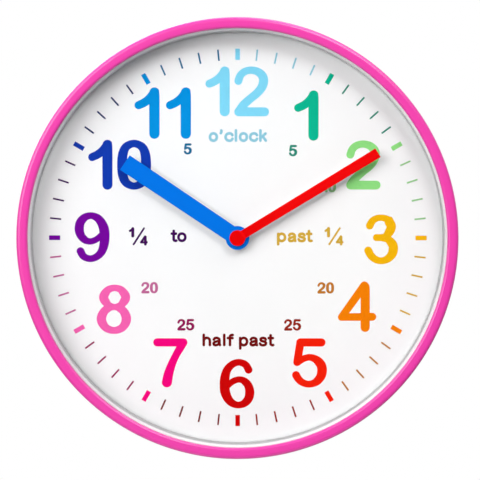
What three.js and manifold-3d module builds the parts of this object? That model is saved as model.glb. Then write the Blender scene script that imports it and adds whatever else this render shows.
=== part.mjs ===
// A round teaching wall clock: a snap-together plastic case with a flat lens and a plain dial,
// a blue hour hand and a red minute hand, and a battery movement with its whole gear train.
//
// Millimetres, +Z up. The dial faces -Y and the wall is the plane y = 0. The origin is on the nail
// that the clock hangs from, at the top of its hanging slot; the hands turn about an axis below it.
// "Forward" in the names below is the distance in front of the wall, so y = -forward.

import * as THREE from 'three';
import { mergeVertices } from 'three/addons/utils/BufferGeometryUtils.js';
import Module from 'manifold-3d';

const wasm = await Module();
wasm.setup();

// Clearances shared by many pieces
const fitGap = 0.3; // between two pieces that are assembled together
const seatGap = 0.1; // between two flat faces that rest on each other
const pressGap = 0.05; // round a piece that is pressed on its seat
const runningGap = 0.15; // round a shaft that turns
const cutOverrun = 1.0; // how far a cutting tool runs past the face that it cuts
const weldDistance = 0.0001;

// Facets of round pieces
const caseFacets = 72;
const hubFacets = 20;
const arborFacets = 10;
const cornerSteps = 4;

// Case ring: the pink shell with its rounded bezel
const caseRadius = 100;
const caseWall = 3.0;
const caseDraft = 1.0; // the case is narrower by this at the wall
const bezelWidth = 5.1;
const bezelRise = 3.0; // from the lens to the crest
const bezelOuterFillet = 1.7;
const bezelInnerFillet = 1.4;
const bezelCrown = 0.3; // the crest stands this far above the bezel's two shoulders
const bezelFilletSteps = 3;
const catchPairs = 3;
const catchWidth = 9;
const catchReach = 1.8; // how far a catch stands in from the case's bore
const catchRoot = 0.6; // how far it is sunk in the shell
const catchLength = 4.5;

// The chain of pieces from the wall forward
const rearGap = 2.5; // behind the movement
const coverThickness = 1.5;
const bridgeThickness = 1.0;
const wheelClearance = 0.4; // between a wheel and a fixed face beside it
const wheelGap = 0.8; // between neighbouring wheels
const backThickness = 1.8;
const dialThickness = 0.8;
const handChamberDepth = 9.0; // between the dial and the lens
const lensThickness = 1.7;

// Spacer ring: the white ring that shows round the dial, holds its edge and carries the lens
const spacerFlare = 1.3; // its bore is smaller by this at the dial than at the lens

// Back plate: the white moulding behind the dial, with ribs, rails and spring clips
const ribCount = 12;
const ribHeight = 6;
const ribThickness = 1.4;
const ribInnerSetback = 6.4; // from the movement's corner to a rib's inner end
const ribOuterSetback = 4.2; // from a catch's tip to a rib's outer end
const hoopHeight = 4; // the round rib that crosses the straight ones
const railLength = 38; // the rails above and below the movement
const railHeight = 5;
const railThickness = 1.6;
const clipWidth = 9;
const clipThickness = 1.6;
const clipHook = 1.4;
const clipHookHeight = 1.6;

// Hanging box: the pocket behind the top of the plate, with the keyhole for the nail
const nailInset = 23.6; // from the nail up to the spacer ring's bore
const slotWidth = 5.2;
const slotLength = 9;
const keyholeRadius = 5.2;
const hangerWidth = 20;
const hangerMargin = 5.5; // material round the keyhole, above and below
const hangerWall = 1.6;
const hangerBack = 2.2;
const hangerRear = 0.6; // from the wall to the back of the box
const hangerFoot = 2.5; // the flange that is welded to the plate
const hangerFootThickness = 1.6;

// Dial
const dialInset = 1.3; // from the case's bore to the dial's edge
const dialHoleGap = 0.5;

// Hands
const hourHandInset = 32; // from the hand's tip to the spacer ring's bore
const hourHandRootWidth = 7.4;
const hourHandTipWidth = 7.9;
const hourHubRadius = 5.4;
const minuteHandInset = 19;
const minuteHandRootWidth = 4.0;
const minuteHandTipWidth = 4.6;
const minuteHubRadius = 3.6;
const handThickness = 0.6;
const colletHeight = 1.4;
const colletWall = 1.0;
const handGap = 0.9; // between the two hands' blades
const hourHandClearance = 3.3; // from the dial to the back of the hour hand
const minuteSocketDepth = 0.7;
const hourHandAngle = 303.8; // degrees clockwise from twelve, as hung
const minuteHandAngle = 58.7;

// Movement case: its battery sets its width, and the bay and the train above it its height
const movementCorner = 3;
const plateThickness = 1.5;
const movementWall = 1.3;
const earLength = 10;
const earReach = 2.0;
const threadRadius = 3.9; // the tube that carries the hands through the dial
const threadLength = 4.2;
const pillarRadius = 1.6;
const bossRadius = 1.4;
const bossHeight = 0.7;
const pivotDepth = 0.5;
const coverLipThickness = 0.9;
const coverLipHeight = 1.4;
const bridgeMargin = 2.4;

// Arbors
const arborRadius = 0.5;
const arborReach = 3; // of the second arbor into the hollow minute arbor
const minuteArborRadius = 1.6;
const minuteArborCore = 0.7;
const centreSeatRadius = 1.2;
const centreHeadRadius = 1.7;
const centreHeadThickness = 0.4;
const hourTubeWall = 0.75;
const motionPostRadius = 0.45;
const knobShaftRadius = 1.3;
const wheelHubRadius = 1.4;
const clutchRadius = 3.2;
const clutchThickness = 0.25;
const clutchArms = 3;

// Wheels: tooth counts, modules and thicknesses
const hourTeeth = 32;
const motionTeeth = 30;
const motionPinionTeeth = 8;
const cannonTeeth = 10;
const knobTeeth = 10;
const motionModule = 0.35;
const centreTeeth = 48;
const thirdPinionTeeth = 6;
const centreDistance = 9.2; // from the hands' axis to the third wheel's
const thirdTeeth = 45;
const secondPinionTeeth = 6;
const secondTeeth = 36;
const intermediatePinionTeeth = 6;
const secondModule = 0.44;
const intermediateTeeth = 30;
const rotorPinionTeeth = 6;
const rotorModule = 0.35;
const motionWheelThickness = 1.1;
const trainWheelThickness = 0.9;
const pinionOverhang = 0.25; // a pinion stands out this far at each end of the wheel it drives
const webHoles = 4;
const webHoleFacets = 8;
const addendumShare = 0.85; // of the module
const dedendumShare = 1.2;
const toothTipShare = 0.18; // of the tooth pitch
const toothRootShare = 0.5;
const webHoleShare = 0.19; // of the wheel's pitch radius
const webRingShare = 0.56;

// Where the axes stand, as bearings in degrees from +X towards +Z
const thirdBearing = 125;
const intermediateBearing = 20;
const rotorBearing = 75;
const motionBearing = 200;
const knobBearing = 190;

// Setting knob
const knobRadius = 6;
const knobThickness = 1.5;
const knobRidges = 20;
const knobRidgeDepth = 0.45;

// Motor
const magnetRadius = 2.6;
const magnetLength = 2.6;
const airGap = 0.5;
const statorRim = 1.0;
const statorLegWidth = 3;
const statorThickness = 0.9;
const statorClearance = 1.5; // from its legs to the third wheel's hub and to the cover's lip
const coilClearance = 1.0; // from the coil's flanges to the cover's lip
const coreWidth = 2.2;
const coreThickness = 0.9;
const bobbinFlange = 8.4;
const bobbinFlangeThickness = 1.0;
const bobbinWall = 0.7;
const windingRadius = 3.8;
const coilPostRadius = 1.1;

// Circuit board
const boardThickness = 1.0;
const boardHeadroom = 1.7; // from its upper edge to the cover's lip
const boardLow = 0.8; // its lower edge, above the hands' axis
const chipRadius = 2.4;
const chipHeight = 1.0;
const crystalRadius = 1.0;
const crystalLength = 6;

// Battery and its bay
const batteryRadius = 7.1;
const batteryLength = 50.3;
const batteryButtonRadius = 2.7;
const batteryButtonLength = 1.3;
const batteryCrimp = 0.5;
const bayWall = 1.2;
const bayClearance = 0.55; // above and below the battery
const bayTop = 10.2; // from the hands' axis down to the bay's partition
const bayRelease = 0.4; // room round the battery in the back's window
const cradleThickness = 1.2;
const cradleSpacing = 28;
const cradleHeight = 4.2;
const notchWidth = 20;
const notchDepth = 6.5;
const contactThickness = 0.4;
const contactWidth = 6;
const contactBulge = 0.7;
const stripWidth = 1.6;
const riserShare = 0.6; // how far along the board's lower edge the long contact meets it

const pink = new THREE.MeshStandardMaterial({ color: 0xf24eb2, roughness: 0.35, metalness: 0 });
const white = new THREE.MeshStandardMaterial({ color: 0xf8f8f6, roughness: 0.5, metalness: 0 });
const clear = new THREE.MeshStandardMaterial({
  color: 0xf4f8fa, roughness: 0.05, metalness: 0, transparent: true, opacity: 0.15,
});
const card = new THREE.MeshStandardMaterial({ color: 0xfdfdfd, roughness: 0.7, metalness: 0 });
const blue = new THREE.MeshStandardMaterial({ color: 0x0577eb, roughness: 0.4, metalness: 0 });
const red = new THREE.MeshStandardMaterial({ color: 0xf50505, roughness: 0.4, metalness: 0 });
const black = new THREE.MeshStandardMaterial({ color: 0x1b1c1e, roughness: 0.5, metalness: 0 });
const acetal = new THREE.MeshStandardMaterial({ color: 0xe9e4d6, roughness: 0.45, metalness: 0 });
const brass = new THREE.MeshStandardMaterial({ color: 0xc9a24a, roughness: 0.3, metalness: 1 });
const steel = new THREE.MeshStandardMaterial({ color: 0xb9bcc0, roughness: 0.3, metalness: 1 });
const copper = new THREE.MeshStandardMaterial({ color: 0xb4622c, roughness: 0.35, metalness: 1 });
const laminate = new THREE.MeshStandardMaterial({ color: 0x2f6d3c, roughness: 0.6, metalness: 0 });
const sleeve = new THREE.MeshStandardMaterial({ color: 0x3b3f45, roughness: 0.35, metalness: 0 });

// How far forward each face lies
const coverFront = rearGap + coverThickness;
const bridgeRear = coverFront + fitGap;
const bridgeFront = bridgeRear + bridgeThickness;
const intermediateRear = bridgeFront + wheelClearance;
const secondRear = intermediateRear + trainWheelThickness + wheelGap;
const thirdRear = secondRear + trainWheelThickness + wheelGap;
const statorRear = thirdRear + trainWheelThickness + wheelClearance;
const statorFront = statorRear + statorThickness;
const centreRear = statorFront + wheelGap;
const centreFront = centreRear + trainWheelThickness;
const motionRear = centreFront + wheelGap;
const hourWheelRear = motionRear + motionWheelThickness + wheelClearance;
const plateRear = hourWheelRear + motionWheelThickness + wheelClearance;
const movementFront = plateRear + plateThickness;
const plateBackRear = movementFront + seatGap;
const plateBackFront = plateBackRear + backThickness;
const dialRear = plateBackFront + seatGap;
const dialFront = dialRear + dialThickness;
const lensRear = dialFront + handChamberDepth;
const lensFront = lensRear + lensThickness;
const bezelRear = lensFront + seatGap;
const caseFront = bezelRear + bezelRise;
const hourHandRear = dialFront + hourHandClearance;
const hourHandFront = hourHandRear + handThickness;
const minuteHandRear = hourHandFront + handGap;
const minuteHandFront = minuteHandRear + handThickness;

// Radii that follow the case, and what lines up with them
const caseBoreRadius = caseRadius - caseWall;
const bezelOpeningRadius = caseRadius - bezelWidth;
const spacerRadius = bezelOpeningRadius - spacerFlare;
const catchTipRadius = caseBoreRadius - catchReach;
const nailHeight = spacerRadius - nailInset;
const hourHandLength = spacerRadius - hourHandInset;
const minuteHandLength = spacerRadius - minuteHandInset;

// Where the axes stand in the plane of the dial
const origin = { x: 0, z: 0 };
const motionDistance = (motionModule * (cannonTeeth + motionTeeth)) / 2;
const knobDistance = (motionModule * (motionTeeth + knobTeeth)) / 2;
const hourModule = (2 * motionDistance) / (hourTeeth + motionPinionTeeth);
const intermediateDistance = (secondModule * (secondTeeth + intermediatePinionTeeth)) / 2;
const rotorDistance = (rotorModule * (intermediateTeeth + rotorPinionTeeth)) / 2;
const centreModule = (2 * centreDistance) / (centreTeeth + thirdPinionTeeth);
const thirdModule = (2 * centreDistance) / (thirdTeeth + secondPinionTeeth);
const thirdAxis = axisFrom(origin, centreDistance, thirdBearing);
const intermediateAxis = axisFrom(origin, intermediateDistance, intermediateBearing);
const rotorAxis = axisFrom(intermediateAxis, rotorDistance, rotorBearing);
const motionAxis = axisFrom(origin, motionDistance, motionBearing);
const knobAxis = axisFrom(motionAxis, knobDistance, knobBearing);

// The room inside the movement, its battery bay and the pillars that carry the bridge
const contactRoom = contactBulge + contactThickness + fitGap * 1.5; // at each end of the battery
const roomHalfWidth = batteryLength / 2 + contactRoom;
const roomHalfHeight = bayTop + bayWall + (batteryRadius + bayClearance) * 2;
const halfWidth = roomHalfWidth + movementWall;
const halfHeight = roomHalfHeight + movementWall;
const lipRoom = coverLipThickness + fitGap; // taken by the cover's lip along each wall
const bayBottom = -roomHalfHeight;
const bayCeiling = -bayTop - bayWall;
const batteryForward = plateRear - fitGap - batteryRadius;
const batteryHeight = (bayBottom + bayCeiling) / 2;
const tailSlot = contactThickness + fitGap * 2; // past each end of the partition
const pillarLow = pillarRadius + fitGap * 3 - bayTop;
const pillarAxes = [
  { x: thirdAxis.x - centreDistance, z: thirdAxis.z + pillarRadius * 3 },
  { x: intermediateAxis.x + intermediateDistance, z: intermediateAxis.z - pillarRadius },
  { x: intermediateAxis.x + pillarRadius * 2, z: pillarLow },
  { x: knobAxis.x - pillarRadius * 2, z: pillarLow },
];
const statorLeft = thirdAxis.x + wheelHubRadius + statorClearance;
const statorRight = roomHalfWidth - lipRoom - statorClearance;
const statorHalfLength = (statorRight - statorLeft) / 2;
const coilAxis = {
  x: (statorLeft + statorRight) / 2,
  z: roomHalfHeight - lipRoom - coilClearance - bobbinFlange / 2,
};
const hourTubeBore = minuteArborRadius + runningGap;
const hourTubeRadius = hourTubeBore + hourTubeWall;

function radians(degrees) {
  return THREE.MathUtils.degToRad(degrees);
}

function axisFrom(start, distance, bearing) {
  return {
    x: start.x + distance * Math.cos(radians(bearing)),
    z: start.z + distance * Math.sin(radians(bearing)),
  };
}

// A closed geometry as a solid that can be cut and joined.
function solidOf(geometry) {
  const loose = geometry.index ? geometry.toNonIndexed() : geometry;
  const bare = new THREE.BufferGeometry().setAttribute('position', loose.getAttribute('position'));
  const merged = mergeVertices(bare, weldDistance);
  const corners = [];
  for (let i = 0; i < merged.index.count; i += 3) {
    const [a, b, c] = [0, 1, 2].map((k) => merged.index.getX(i + k));
    if (a !== b && b !== c && c !== a) corners.push(a, b, c);
  }
  return new wasm.Manifold(new wasm.Mesh({
    numProp: 3,
    vertProperties: merged.attributes.position.array,
    triVerts: new Uint32Array(corners),
  }));
}

function joined(solids) {
  return solids.reduce((all, next) => all.add(next));
}

function signedArea(points) {
  return points.reduce((sum, [x, y], i) => {
    const [nextX, nextY] = points[(i + 1) % points.length];
    return sum + (x * nextY - nextX * y) / 2;
  }, 0);
}

// Turns a profile of [radius, forward] points about the axis through the local origin. A profile
// that touches the axis is left open there; any other is closed on itself.
function revolve(profile, facets = hubFacets) {
  const points = profile.map(([radius, forward]) => [radius, -forward]);
  if (signedArea(points) < 0) points.reverse();
  if (points.some(([radius]) => radius === 0)) {
    while (points[0][0] !== 0 || points[points.length - 1][0] !== 0) points.push(points.shift());
  } else {
    points.push(points[0]);
  }
  return solidOf(new THREE.LatheGeometry(points.map(([x, y]) => new THREE.Vector2(x, y)), facets));
}

function cylinder(radius, rear, front, facets = hubFacets) {
  return revolve([[0, rear], [radius, rear], [radius, front], [0, front]], facets);
}

function tube(inner, outer, rear, front, facets = hubFacets) {
  return revolve([[inner, rear], [outer, rear], [outer, front], [inner, front]], facets);
}

// A flat outline in the plane of the dial, given thickness from rear to front.
function slab(shape, rear, front) {
  const geometry = new THREE.ExtrudeGeometry(shape, {
    depth: front - rear, bevelEnabled: false, curveSegments: cornerSteps,
  });
  return solidOf(geometry.rotateX(Math.PI / 2).translate(0, -rear, 0));
}

function outline(points) {
  return new THREE.Shape(points.map(([x, z]) => new THREE.Vector2(x, z)));
}

function block([left, right], [rear, front], [bottom, top]) {
  const geometry = new THREE.BoxGeometry(right - left, front - rear, top - bottom);
  geometry.translate((left + right) / 2, -(rear + front) / 2, (bottom + top) / 2);
  return solidOf(geometry);
}

function roundedPlate([left, right], [bottom, top], corner, rear, front) {
  const shape = new THREE.Shape();
  const quarter = Math.PI / 2;
  shape.absarc(right - corner, bottom + corner, corner, -quarter, 0, false);
  shape.absarc(right - corner, top - corner, corner, 0, quarter, false);
  shape.absarc(left + corner, top - corner, corner, quarter, Math.PI, false);
  shape.absarc(left + corner, bottom + corner, corner, Math.PI, Math.PI + quarter, false);
  return slab(shape, rear, front);
}

function at(solid, axis) {
  return solid.translate([axis.x, 0, axis.z]);
}

// Clockwise as seen from the front.
function turned(solid, degreesClockwise) {
  return solid.rotate([0, degreesClockwise, 0]);
}

function fillet([centreRadius, centreForward], size, fromDegrees, toDegrees) {
  return Array.from({ length: bezelFilletSteps + 1 }, (_, i) => {
    const angle = radians(fromDegrees + ((toDegrees - fromDegrees) * i) / bezelFilletSteps);
    return [centreRadius + size * Math.cos(angle), centreForward + size * Math.sin(angle)];
  });
}

// A toothed wheel or pinion about the local origin, with one tooth centred on toothBearing.
function gear({ teeth, module, tooth }, rear, front) {
  const pitchRadius = (module * teeth) / 2;
  const root = pitchRadius - dedendumShare * module;
  const tip = pitchRadius + addendumShare * module;
  const pitch = 360 / teeth;
  const points = [];
  for (let i = 0; i < teeth; i += 1) {
    const middle = tooth + pitch * i;
    const flanks = [
      [root, -toothRootShare], [tip, -toothTipShare], [tip, toothTipShare], [root, toothRootShare],
    ];
    for (const [radius, share] of flanks) {
      const point = axisFrom(origin, radius, middle + (pitch * share) / 2);
      points.push([point.x, point.z]);
    }
  }
  return slab(outline(points), rear, front);
}

// The bearing of a tooth on the mate of a gear, so that the two are in mesh along the line of
// centres that leaves the first gear on the given bearing.
function mateTooth(first, bearing, mateTeeth) {
  const lead = ((first.tooth - bearing) * first.teeth) / mateTeeth;
  return bearing + 180 - lead + 180 / mateTeeth;
}

function gearSize(teeth, module, tooth) {
  return { teeth, module, tooth };
}

// A wheel's web is pierced by a ring of round holes, as moulded train wheels are.
function piercedWheel(size, rear, front) {
  const pitchRadius = (size.module * size.teeth) / 2;
  let wheel = gear(size, rear, front);
  for (let i = 0; i < webHoles; i += 1) {
    const hole = cylinder(pitchRadius * webHoleShare, rear - cutOverrun, front + cutOverrun, webHoleFacets);
    const place = axisFrom(origin, pitchRadius * webRingShare, (360 * i) / webHoles);
    wheel = wheel.subtract(at(hole, place));
  }
  return wheel;
}

const clock = new THREE.Group();
clock.position.z = -nailHeight;

function addPiece(name, solid, material, axis = origin) {
  const { vertProperties, triVerts } = solid.getMesh();
  const geometry = new THREE.BufferGeometry();
  geometry.setAttribute('position', new THREE.BufferAttribute(vertProperties, 3));
  geometry.setIndex(new THREE.BufferAttribute(triVerts, 1));
  geometry.computeVertexNormals();
  const mesh = new THREE.Mesh(geometry, material.clone());
  mesh.name = name;
  mesh.position.set(axis.x, 0, axis.z);
  clock.add(mesh);
}

// Case

function caseRing() {
  const shoulder = caseFront - bezelCrown;
  const outerCentre = [caseRadius - bezelOuterFillet, shoulder - bezelOuterFillet];
  const innerCentre = [bezelOpeningRadius + bezelInnerFillet, shoulder - bezelInnerFillet];
  const crest = (outerCentre[0] + innerCentre[0]) / 2;
  const shell = revolve([
    [caseBoreRadius, 0],
    [caseRadius - caseDraft, 0],
    ...fillet(outerCentre, bezelOuterFillet, 0, 90),
    [crest, caseFront],
    ...fillet(innerCentre, bezelInnerFillet, 90, 180),
    [bezelOpeningRadius, bezelRear],
    [caseBoreRadius, bezelRear],
  ], caseFacets);
  return shell.add(caseCatches());
}

// Snap catches on the case's bore: each has a ramp towards the wall and a ledge behind the plate.
function caseCatches() {
  const ledge = plateBackRear - fitGap;
  const tip = catchTipRadius;
  const root = caseBoreRadius + catchRoot;
  const ring = revolve([
    [tip, ledge],
    [tip, ledge - catchLength / 4],
    [root, ledge - catchLength],
    [root, ledge],
  ], caseFacets);
  const bars = Array.from({ length: catchPairs }, (_, i) => turned(
    block([-caseRadius, caseRadius], [0, caseFront], [-catchWidth / 2, catchWidth / 2]),
    (180 * i) / catchPairs,
  ));
  return ring.intersect(joined(bars));
}

function lens() {
  return cylinder(caseBoreRadius - fitGap, lensRear, lensFront, caseFacets);
}

function spacerRing() {
  const rear = dialFront + seatGap;
  const front = lensRear - seatGap;
  const outer = caseBoreRadius - fitGap;
  return revolve([
    [spacerRadius, rear], [outer, rear], [outer, front], [bezelOpeningRadius, front],
  ], caseFacets);
}

// Back plate

const ribInnerRadius = Math.hypot(halfWidth, halfHeight) + ribInnerSetback;
const ribOuterRadius = catchTipRadius - ribOuterSetback;

function ribs() {
  const front = plateBackFront - backThickness / 2;
  const spokes = Array.from({ length: ribCount }, (_, i) => turned(
    block(
      [-ribThickness / 2, ribThickness / 2], [plateBackRear - ribHeight, front],
      [ribInnerRadius, ribOuterRadius],
    ),
    (360 * (i + 0.5)) / ribCount,
  ));
  const middle = (ribInnerRadius + ribOuterRadius) / 2;
  const hoop = tube(
    middle - ribThickness / 2, middle + ribThickness / 2, plateBackRear - hoopHeight, front, caseFacets,
  );
  return joined([...spokes, hoop]);
}

// Rails above and below the movement, and a spring clip at each side that hooks over its ears.
function movementHolders() {
  const rear = plateBackRear - railHeight;
  const front = plateBackFront - backThickness / 2;
  const railFoot = halfHeight + fitGap;
  const clipFoot = halfWidth + earReach + fitGap;
  const hookRear = movementFront - plateThickness - fitGap - clipHookHeight;
  const rail = block(
    [-railLength / 2, railLength / 2], [rear, front], [railFoot, railFoot + railThickness],
  );
  const shaft = block(
    [clipFoot, clipFoot + clipThickness], [hookRear, front], [-clipWidth / 2, clipWidth / 2],
  );
  const hook = block(
    [clipFoot - clipHook, clipFoot + clipThickness], [hookRear, hookRear + clipHookHeight],
    [-clipWidth / 2, clipWidth / 2],
  );
  const clip = shaft.add(hook);
  return joined([rail, turned(rail, 180), clip, turned(clip, 180)]);
}

function backPlate() {
  const disc = cylinder(caseBoreRadius - fitGap, plateBackRear, plateBackFront, caseFacets);
  const foot = hangerWidth / 2 + hangerFoot + fitGap;
  const bay = block(
    [-foot, foot], [plateBackRear - ribHeight - cutOverrun, plateBackRear],
    [hangerLow - hangerFoot - fitGap, hangerHigh + hangerFoot + fitGap],
  );
  const threadHole = cylinder(
    threadRadius + fitGap, plateBackRear - cutOverrun, plateBackFront + cutOverrun,
  );
  return joined([disc, ribs().subtract(bay), movementHolders()]).subtract(threadHole);
}

// Hanging box

const hangerLow = nailHeight - slotLength - keyholeRadius - hangerMargin;
const hangerHigh = nailHeight + slotWidth / 2 + hangerMargin;

function keyhole(rear, front) {
  const low = nailHeight - slotLength;
  return joined([
    at(cylinder(keyholeRadius, rear, front), { x: 0, z: low }),
    at(cylinder(slotWidth / 2, rear, front), { x: 0, z: nailHeight }),
    block([-slotWidth / 2, slotWidth / 2], [rear, front], [low, nailHeight]),
  ]);
}

function hangingBox() {
  const half = hangerWidth / 2;
  const front = plateBackRear - seatGap;
  const footHalf = half + hangerFoot;
  const box = block([-half, half], [hangerRear, front], [hangerLow, hangerHigh]);
  const foot = block(
    [-footHalf, footHalf], [front - hangerFootThickness, front],
    [hangerLow - hangerFoot, hangerHigh + hangerFoot],
  );
  const room = block(
    [hangerWall - half, half - hangerWall], [hangerRear + hangerBack, front + cutOverrun],
    [hangerLow + hangerWall, hangerHigh - hangerWall],
  );
  return box.add(foot)
    .subtract(room.add(keyhole(hangerRear - cutOverrun, hangerRear + hangerBack + cutOverrun)));
}

function dial() {
  const hole = cylinder(threadRadius + dialHoleGap, dialRear - cutOverrun, dialFront + cutOverrun);
  return cylinder(caseBoreRadius - dialInset, dialRear, dialFront, caseFacets).subtract(hole);
}

// Hands, each pointing at twelve before it is turned

function handBlade(length, rootWidth, tipWidth, rear) {
  const shape = outline([
    [-rootWidth / 2, 0], [rootWidth / 2, 0], [tipWidth / 2, length], [-tipWidth / 2, length],
  ]);
  return slab(shape, rear, rear + handThickness);
}

function hourHand() {
  const bore = hourTubeRadius + pressGap;
  const hub = cylinder(hourHubRadius, hourHandRear, hourHandFront);
  const collet = cylinder(bore + colletWall, hourHandRear - colletHeight, hourHandFront);
  const blade = handBlade(hourHandLength, hourHandRootWidth, hourHandTipWidth, hourHandRear);
  const hand = joined([hub, collet, blade]);
  return turned(hand.subtract(
    cylinder(bore, hourHandRear - colletHeight - cutOverrun, hourHandFront + cutOverrun),
  ), hourHandAngle);
}

function minuteHand() {
  const hubRear = minuteHandRear - minuteSocketDepth / 2;
  const hub = cylinder(minuteHubRadius, hubRear, minuteHandFront);
  const blade = handBlade(minuteHandLength, minuteHandRootWidth, minuteHandTipWidth, minuteHandRear);
  const socket = cylinder(centreSeatRadius + pressGap, hubRear - cutOverrun, hubRear + minuteSocketDepth);
  return turned(hub.add(blade).subtract(socket), minuteHandAngle);
}

// Movement case

function pivotHole() {
  return cylinder(
    arborRadius + runningGap, plateRear - bossHeight - cutOverrun, plateRear + pivotDepth, arborFacets,
  );
}

const pivotAxes = [thirdAxis, intermediateAxis, rotorAxis, knobAxis];

function batteryShape(extra, rear, front) {
  const half = batteryLength / 2 + extra;
  const radius = batteryRadius + extra;
  return block([-half, half], [rear, front], [batteryHeight - radius, batteryHeight + radius]);
}

// A round bar along X, at the battery's place.
function barAlongX(radius, left, right) {
  const geometry = new THREE.CylinderGeometry(radius, radius, right - left, hubFacets);
  geometry.rotateZ(Math.PI / 2);
  geometry.translate((left + right) / 2, -batteryForward, batteryHeight);
  return solidOf(geometry);
}

function cradles() {
  const bed = barAlongX(batteryRadius + fitGap, -halfWidth, halfWidth);
  const ribs = [-1, 1].map((side) => {
    const middle = (side * cradleSpacing) / 2;
    return block(
      [middle - cradleThickness / 2, middle + cradleThickness / 2],
      [plateRear - cradleHeight, plateRear + plateThickness / 2],
      [bayBottom - movementWall / 2, bayCeiling + bayWall / 2],
    );
  });
  return joined(ribs).subtract(bed);
}

function movementPlate() {
  const outer = roundedPlate(
    [-halfWidth, halfWidth], [-halfHeight, halfHeight], movementCorner, coverFront, movementFront,
  );
  const room = roundedPlate(
    [-roomHalfWidth, roomHalfWidth], [-roomHalfHeight, roomHalfHeight], movementCorner - movementWall,
    coverFront - cutOverrun, plateRear,
  );
  const notch = block(
    [-notchWidth / 2, notchWidth / 2], [coverFront - cutOverrun, coverFront + notchDepth],
    [-halfHeight - cutOverrun, bayBottom + cutOverrun],
  );
  const ear = block(
    [halfWidth - movementWall, halfWidth + earReach], [plateRear, movementFront],
    [-earLength / 2, earLength / 2],
  );
  const partition = block(
    [tailSlot - roomHalfWidth, roomHalfWidth - tailSlot],
    [bridgeRear, plateRear + plateThickness / 2], [bayCeiling, bayCeiling + bayWall],
  );
  const thread = cylinder(threadRadius, plateRear, movementFront + threadLength);
  const pillars = pillarAxes.map((axis) => at(
    cylinder(pillarRadius, bridgeFront, plateRear + plateThickness / 2, arborFacets), axis,
  ));
  const post = cylinder(
    motionPostRadius, motionRear + seatGap, plateRear + plateThickness / 2, arborFacets,
  );
  const coilPosts = [-1, 1].map((side) => at(
    cylinder(coilPostRadius, coreFront + seatGap, plateRear + plateThickness / 2, arborFacets),
    { x: coilAxis.x + side * (statorHalfLength - statorLegWidth / 2), z: coilAxis.z },
  ));
  const bosses = pivotAxes.map((axis) => at(
    cylinder(bossRadius, plateRear - bossHeight, plateRear + plateThickness / 2, arborFacets), axis,
  ));
  const added = joined([
    outer.subtract(room).subtract(notch), ear, turned(ear, 180), partition, thread, cradles(),
    ...pillars, at(post, motionAxis), ...coilPosts, ...bosses, ...boardPosts(),
  ]);
  const shaftHole = cylinder(
    hourTubeRadius + runningGap, plateRear - cutOverrun, movementFront + threadLength + cutOverrun,
  );
  const holes = pivotAxes.map((axis) => at(pivotHole(), axis));
  return added.subtract(joined([shaftHole, ...holes]));
}

function movementCover() {
  const back = roundedPlate(
    [-halfWidth, halfWidth], [-halfHeight, halfHeight], movementCorner, rearGap, coverFront - seatGap,
  );
  const lipEdge = roomHalfWidth - fitGap;
  const lipTop = roomHalfHeight - fitGap;
  const lipBottom = fitGap - bayTop;
  const lipFront = coverFront + coverLipHeight;
  const depth = [coverFront - coverThickness / 2, lipFront];
  const topLip = block(
    [movementCorner - lipEdge, lipEdge - movementCorner], depth, [lipTop - coverLipThickness, lipTop],
  );
  const sideLips = [-1, 1].map((side) => {
    const [near, far] = [side * (lipEdge - coverLipThickness), side * lipEdge];
    return block(
      [Math.min(near, far), Math.max(near, far)], depth, [lipBottom + bayWall, lipTop - movementCorner],
    );
  });
  const knobHole = at(
    cylinder(knobShaftRadius + runningGap, rearGap - cutOverrun, coverFront + cutOverrun), knobAxis,
  );
  const window = batteryShape(bayRelease, rearGap - cutOverrun, coverFront + cutOverrun);
  return joined([back, topLip, ...sideLips]).subtract(knobHole.add(window));
}

function bridge() {
  const corners = [pillarAxes[0], rotorAxis, pillarAxes[1], pillarAxes[2], pillarAxes[3]];
  const rear = bridgeRear;
  const front = bridgeFront - seatGap;
  const middle = slab(outline(corners.map(({ x, z }) => [x, z]).reverse()), rear, front);
  const rims = corners.map((corner, i) => {
    const next = corners[(i + 1) % corners.length];
    const length = Math.hypot(next.x - corner.x, next.z - corner.z);
    const bearing = Math.atan2(next.z - corner.z, next.x - corner.x);
    const bar = block([0, length], [rear, front], [-bridgeMargin, bridgeMargin]);
    return at(bar.rotate([0, -THREE.MathUtils.radToDeg(bearing), 0]), corner)
      .add(at(cylinder(bridgeMargin, rear, front), corner));
  });
  const bearings = [thirdAxis, origin, intermediateAxis, rotorAxis].map((axis) => at(
    cylinder(arborRadius + runningGap, rear - cutOverrun, front + cutOverrun, arborFacets), axis,
  ));
  const knobHole = at(
    cylinder(knobShaftRadius + fitGap, rear - cutOverrun, front + cutOverrun), knobAxis,
  );
  return joined([middle, ...rims]).subtract(joined([...bearings, knobHole]));
}

// Wheels of the going train, from the rotor to the hands

const centreSize = gearSize(centreTeeth, centreModule, thirdBearing);
const thirdPinionSize = gearSize(
  thirdPinionTeeth, centreModule, mateTooth(centreSize, thirdBearing, thirdPinionTeeth),
);
const secondPinionSize = gearSize(secondPinionTeeth, thirdModule, thirdBearing);
const thirdSize = gearSize(
  thirdTeeth, thirdModule, mateTooth(secondPinionSize, thirdBearing, thirdTeeth),
);
const secondSize = gearSize(secondTeeth, secondModule, intermediateBearing);
const intermediatePinionSize = gearSize(
  intermediatePinionTeeth, secondModule,
  mateTooth(secondSize, intermediateBearing, intermediatePinionTeeth),
);
const intermediateSize = gearSize(intermediateTeeth, rotorModule, rotorBearing);
const rotorPinionSize = gearSize(
  rotorPinionTeeth, rotorModule, mateTooth(intermediateSize, rotorBearing, rotorPinionTeeth),
);
const cannonSize = gearSize(cannonTeeth, motionModule, motionBearing);
const motionSize = gearSize(motionTeeth, motionModule, mateTooth(cannonSize, motionBearing, motionTeeth));
const motionPinionSize = gearSize(motionPinionTeeth, hourModule, motionBearing + 180);
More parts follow.
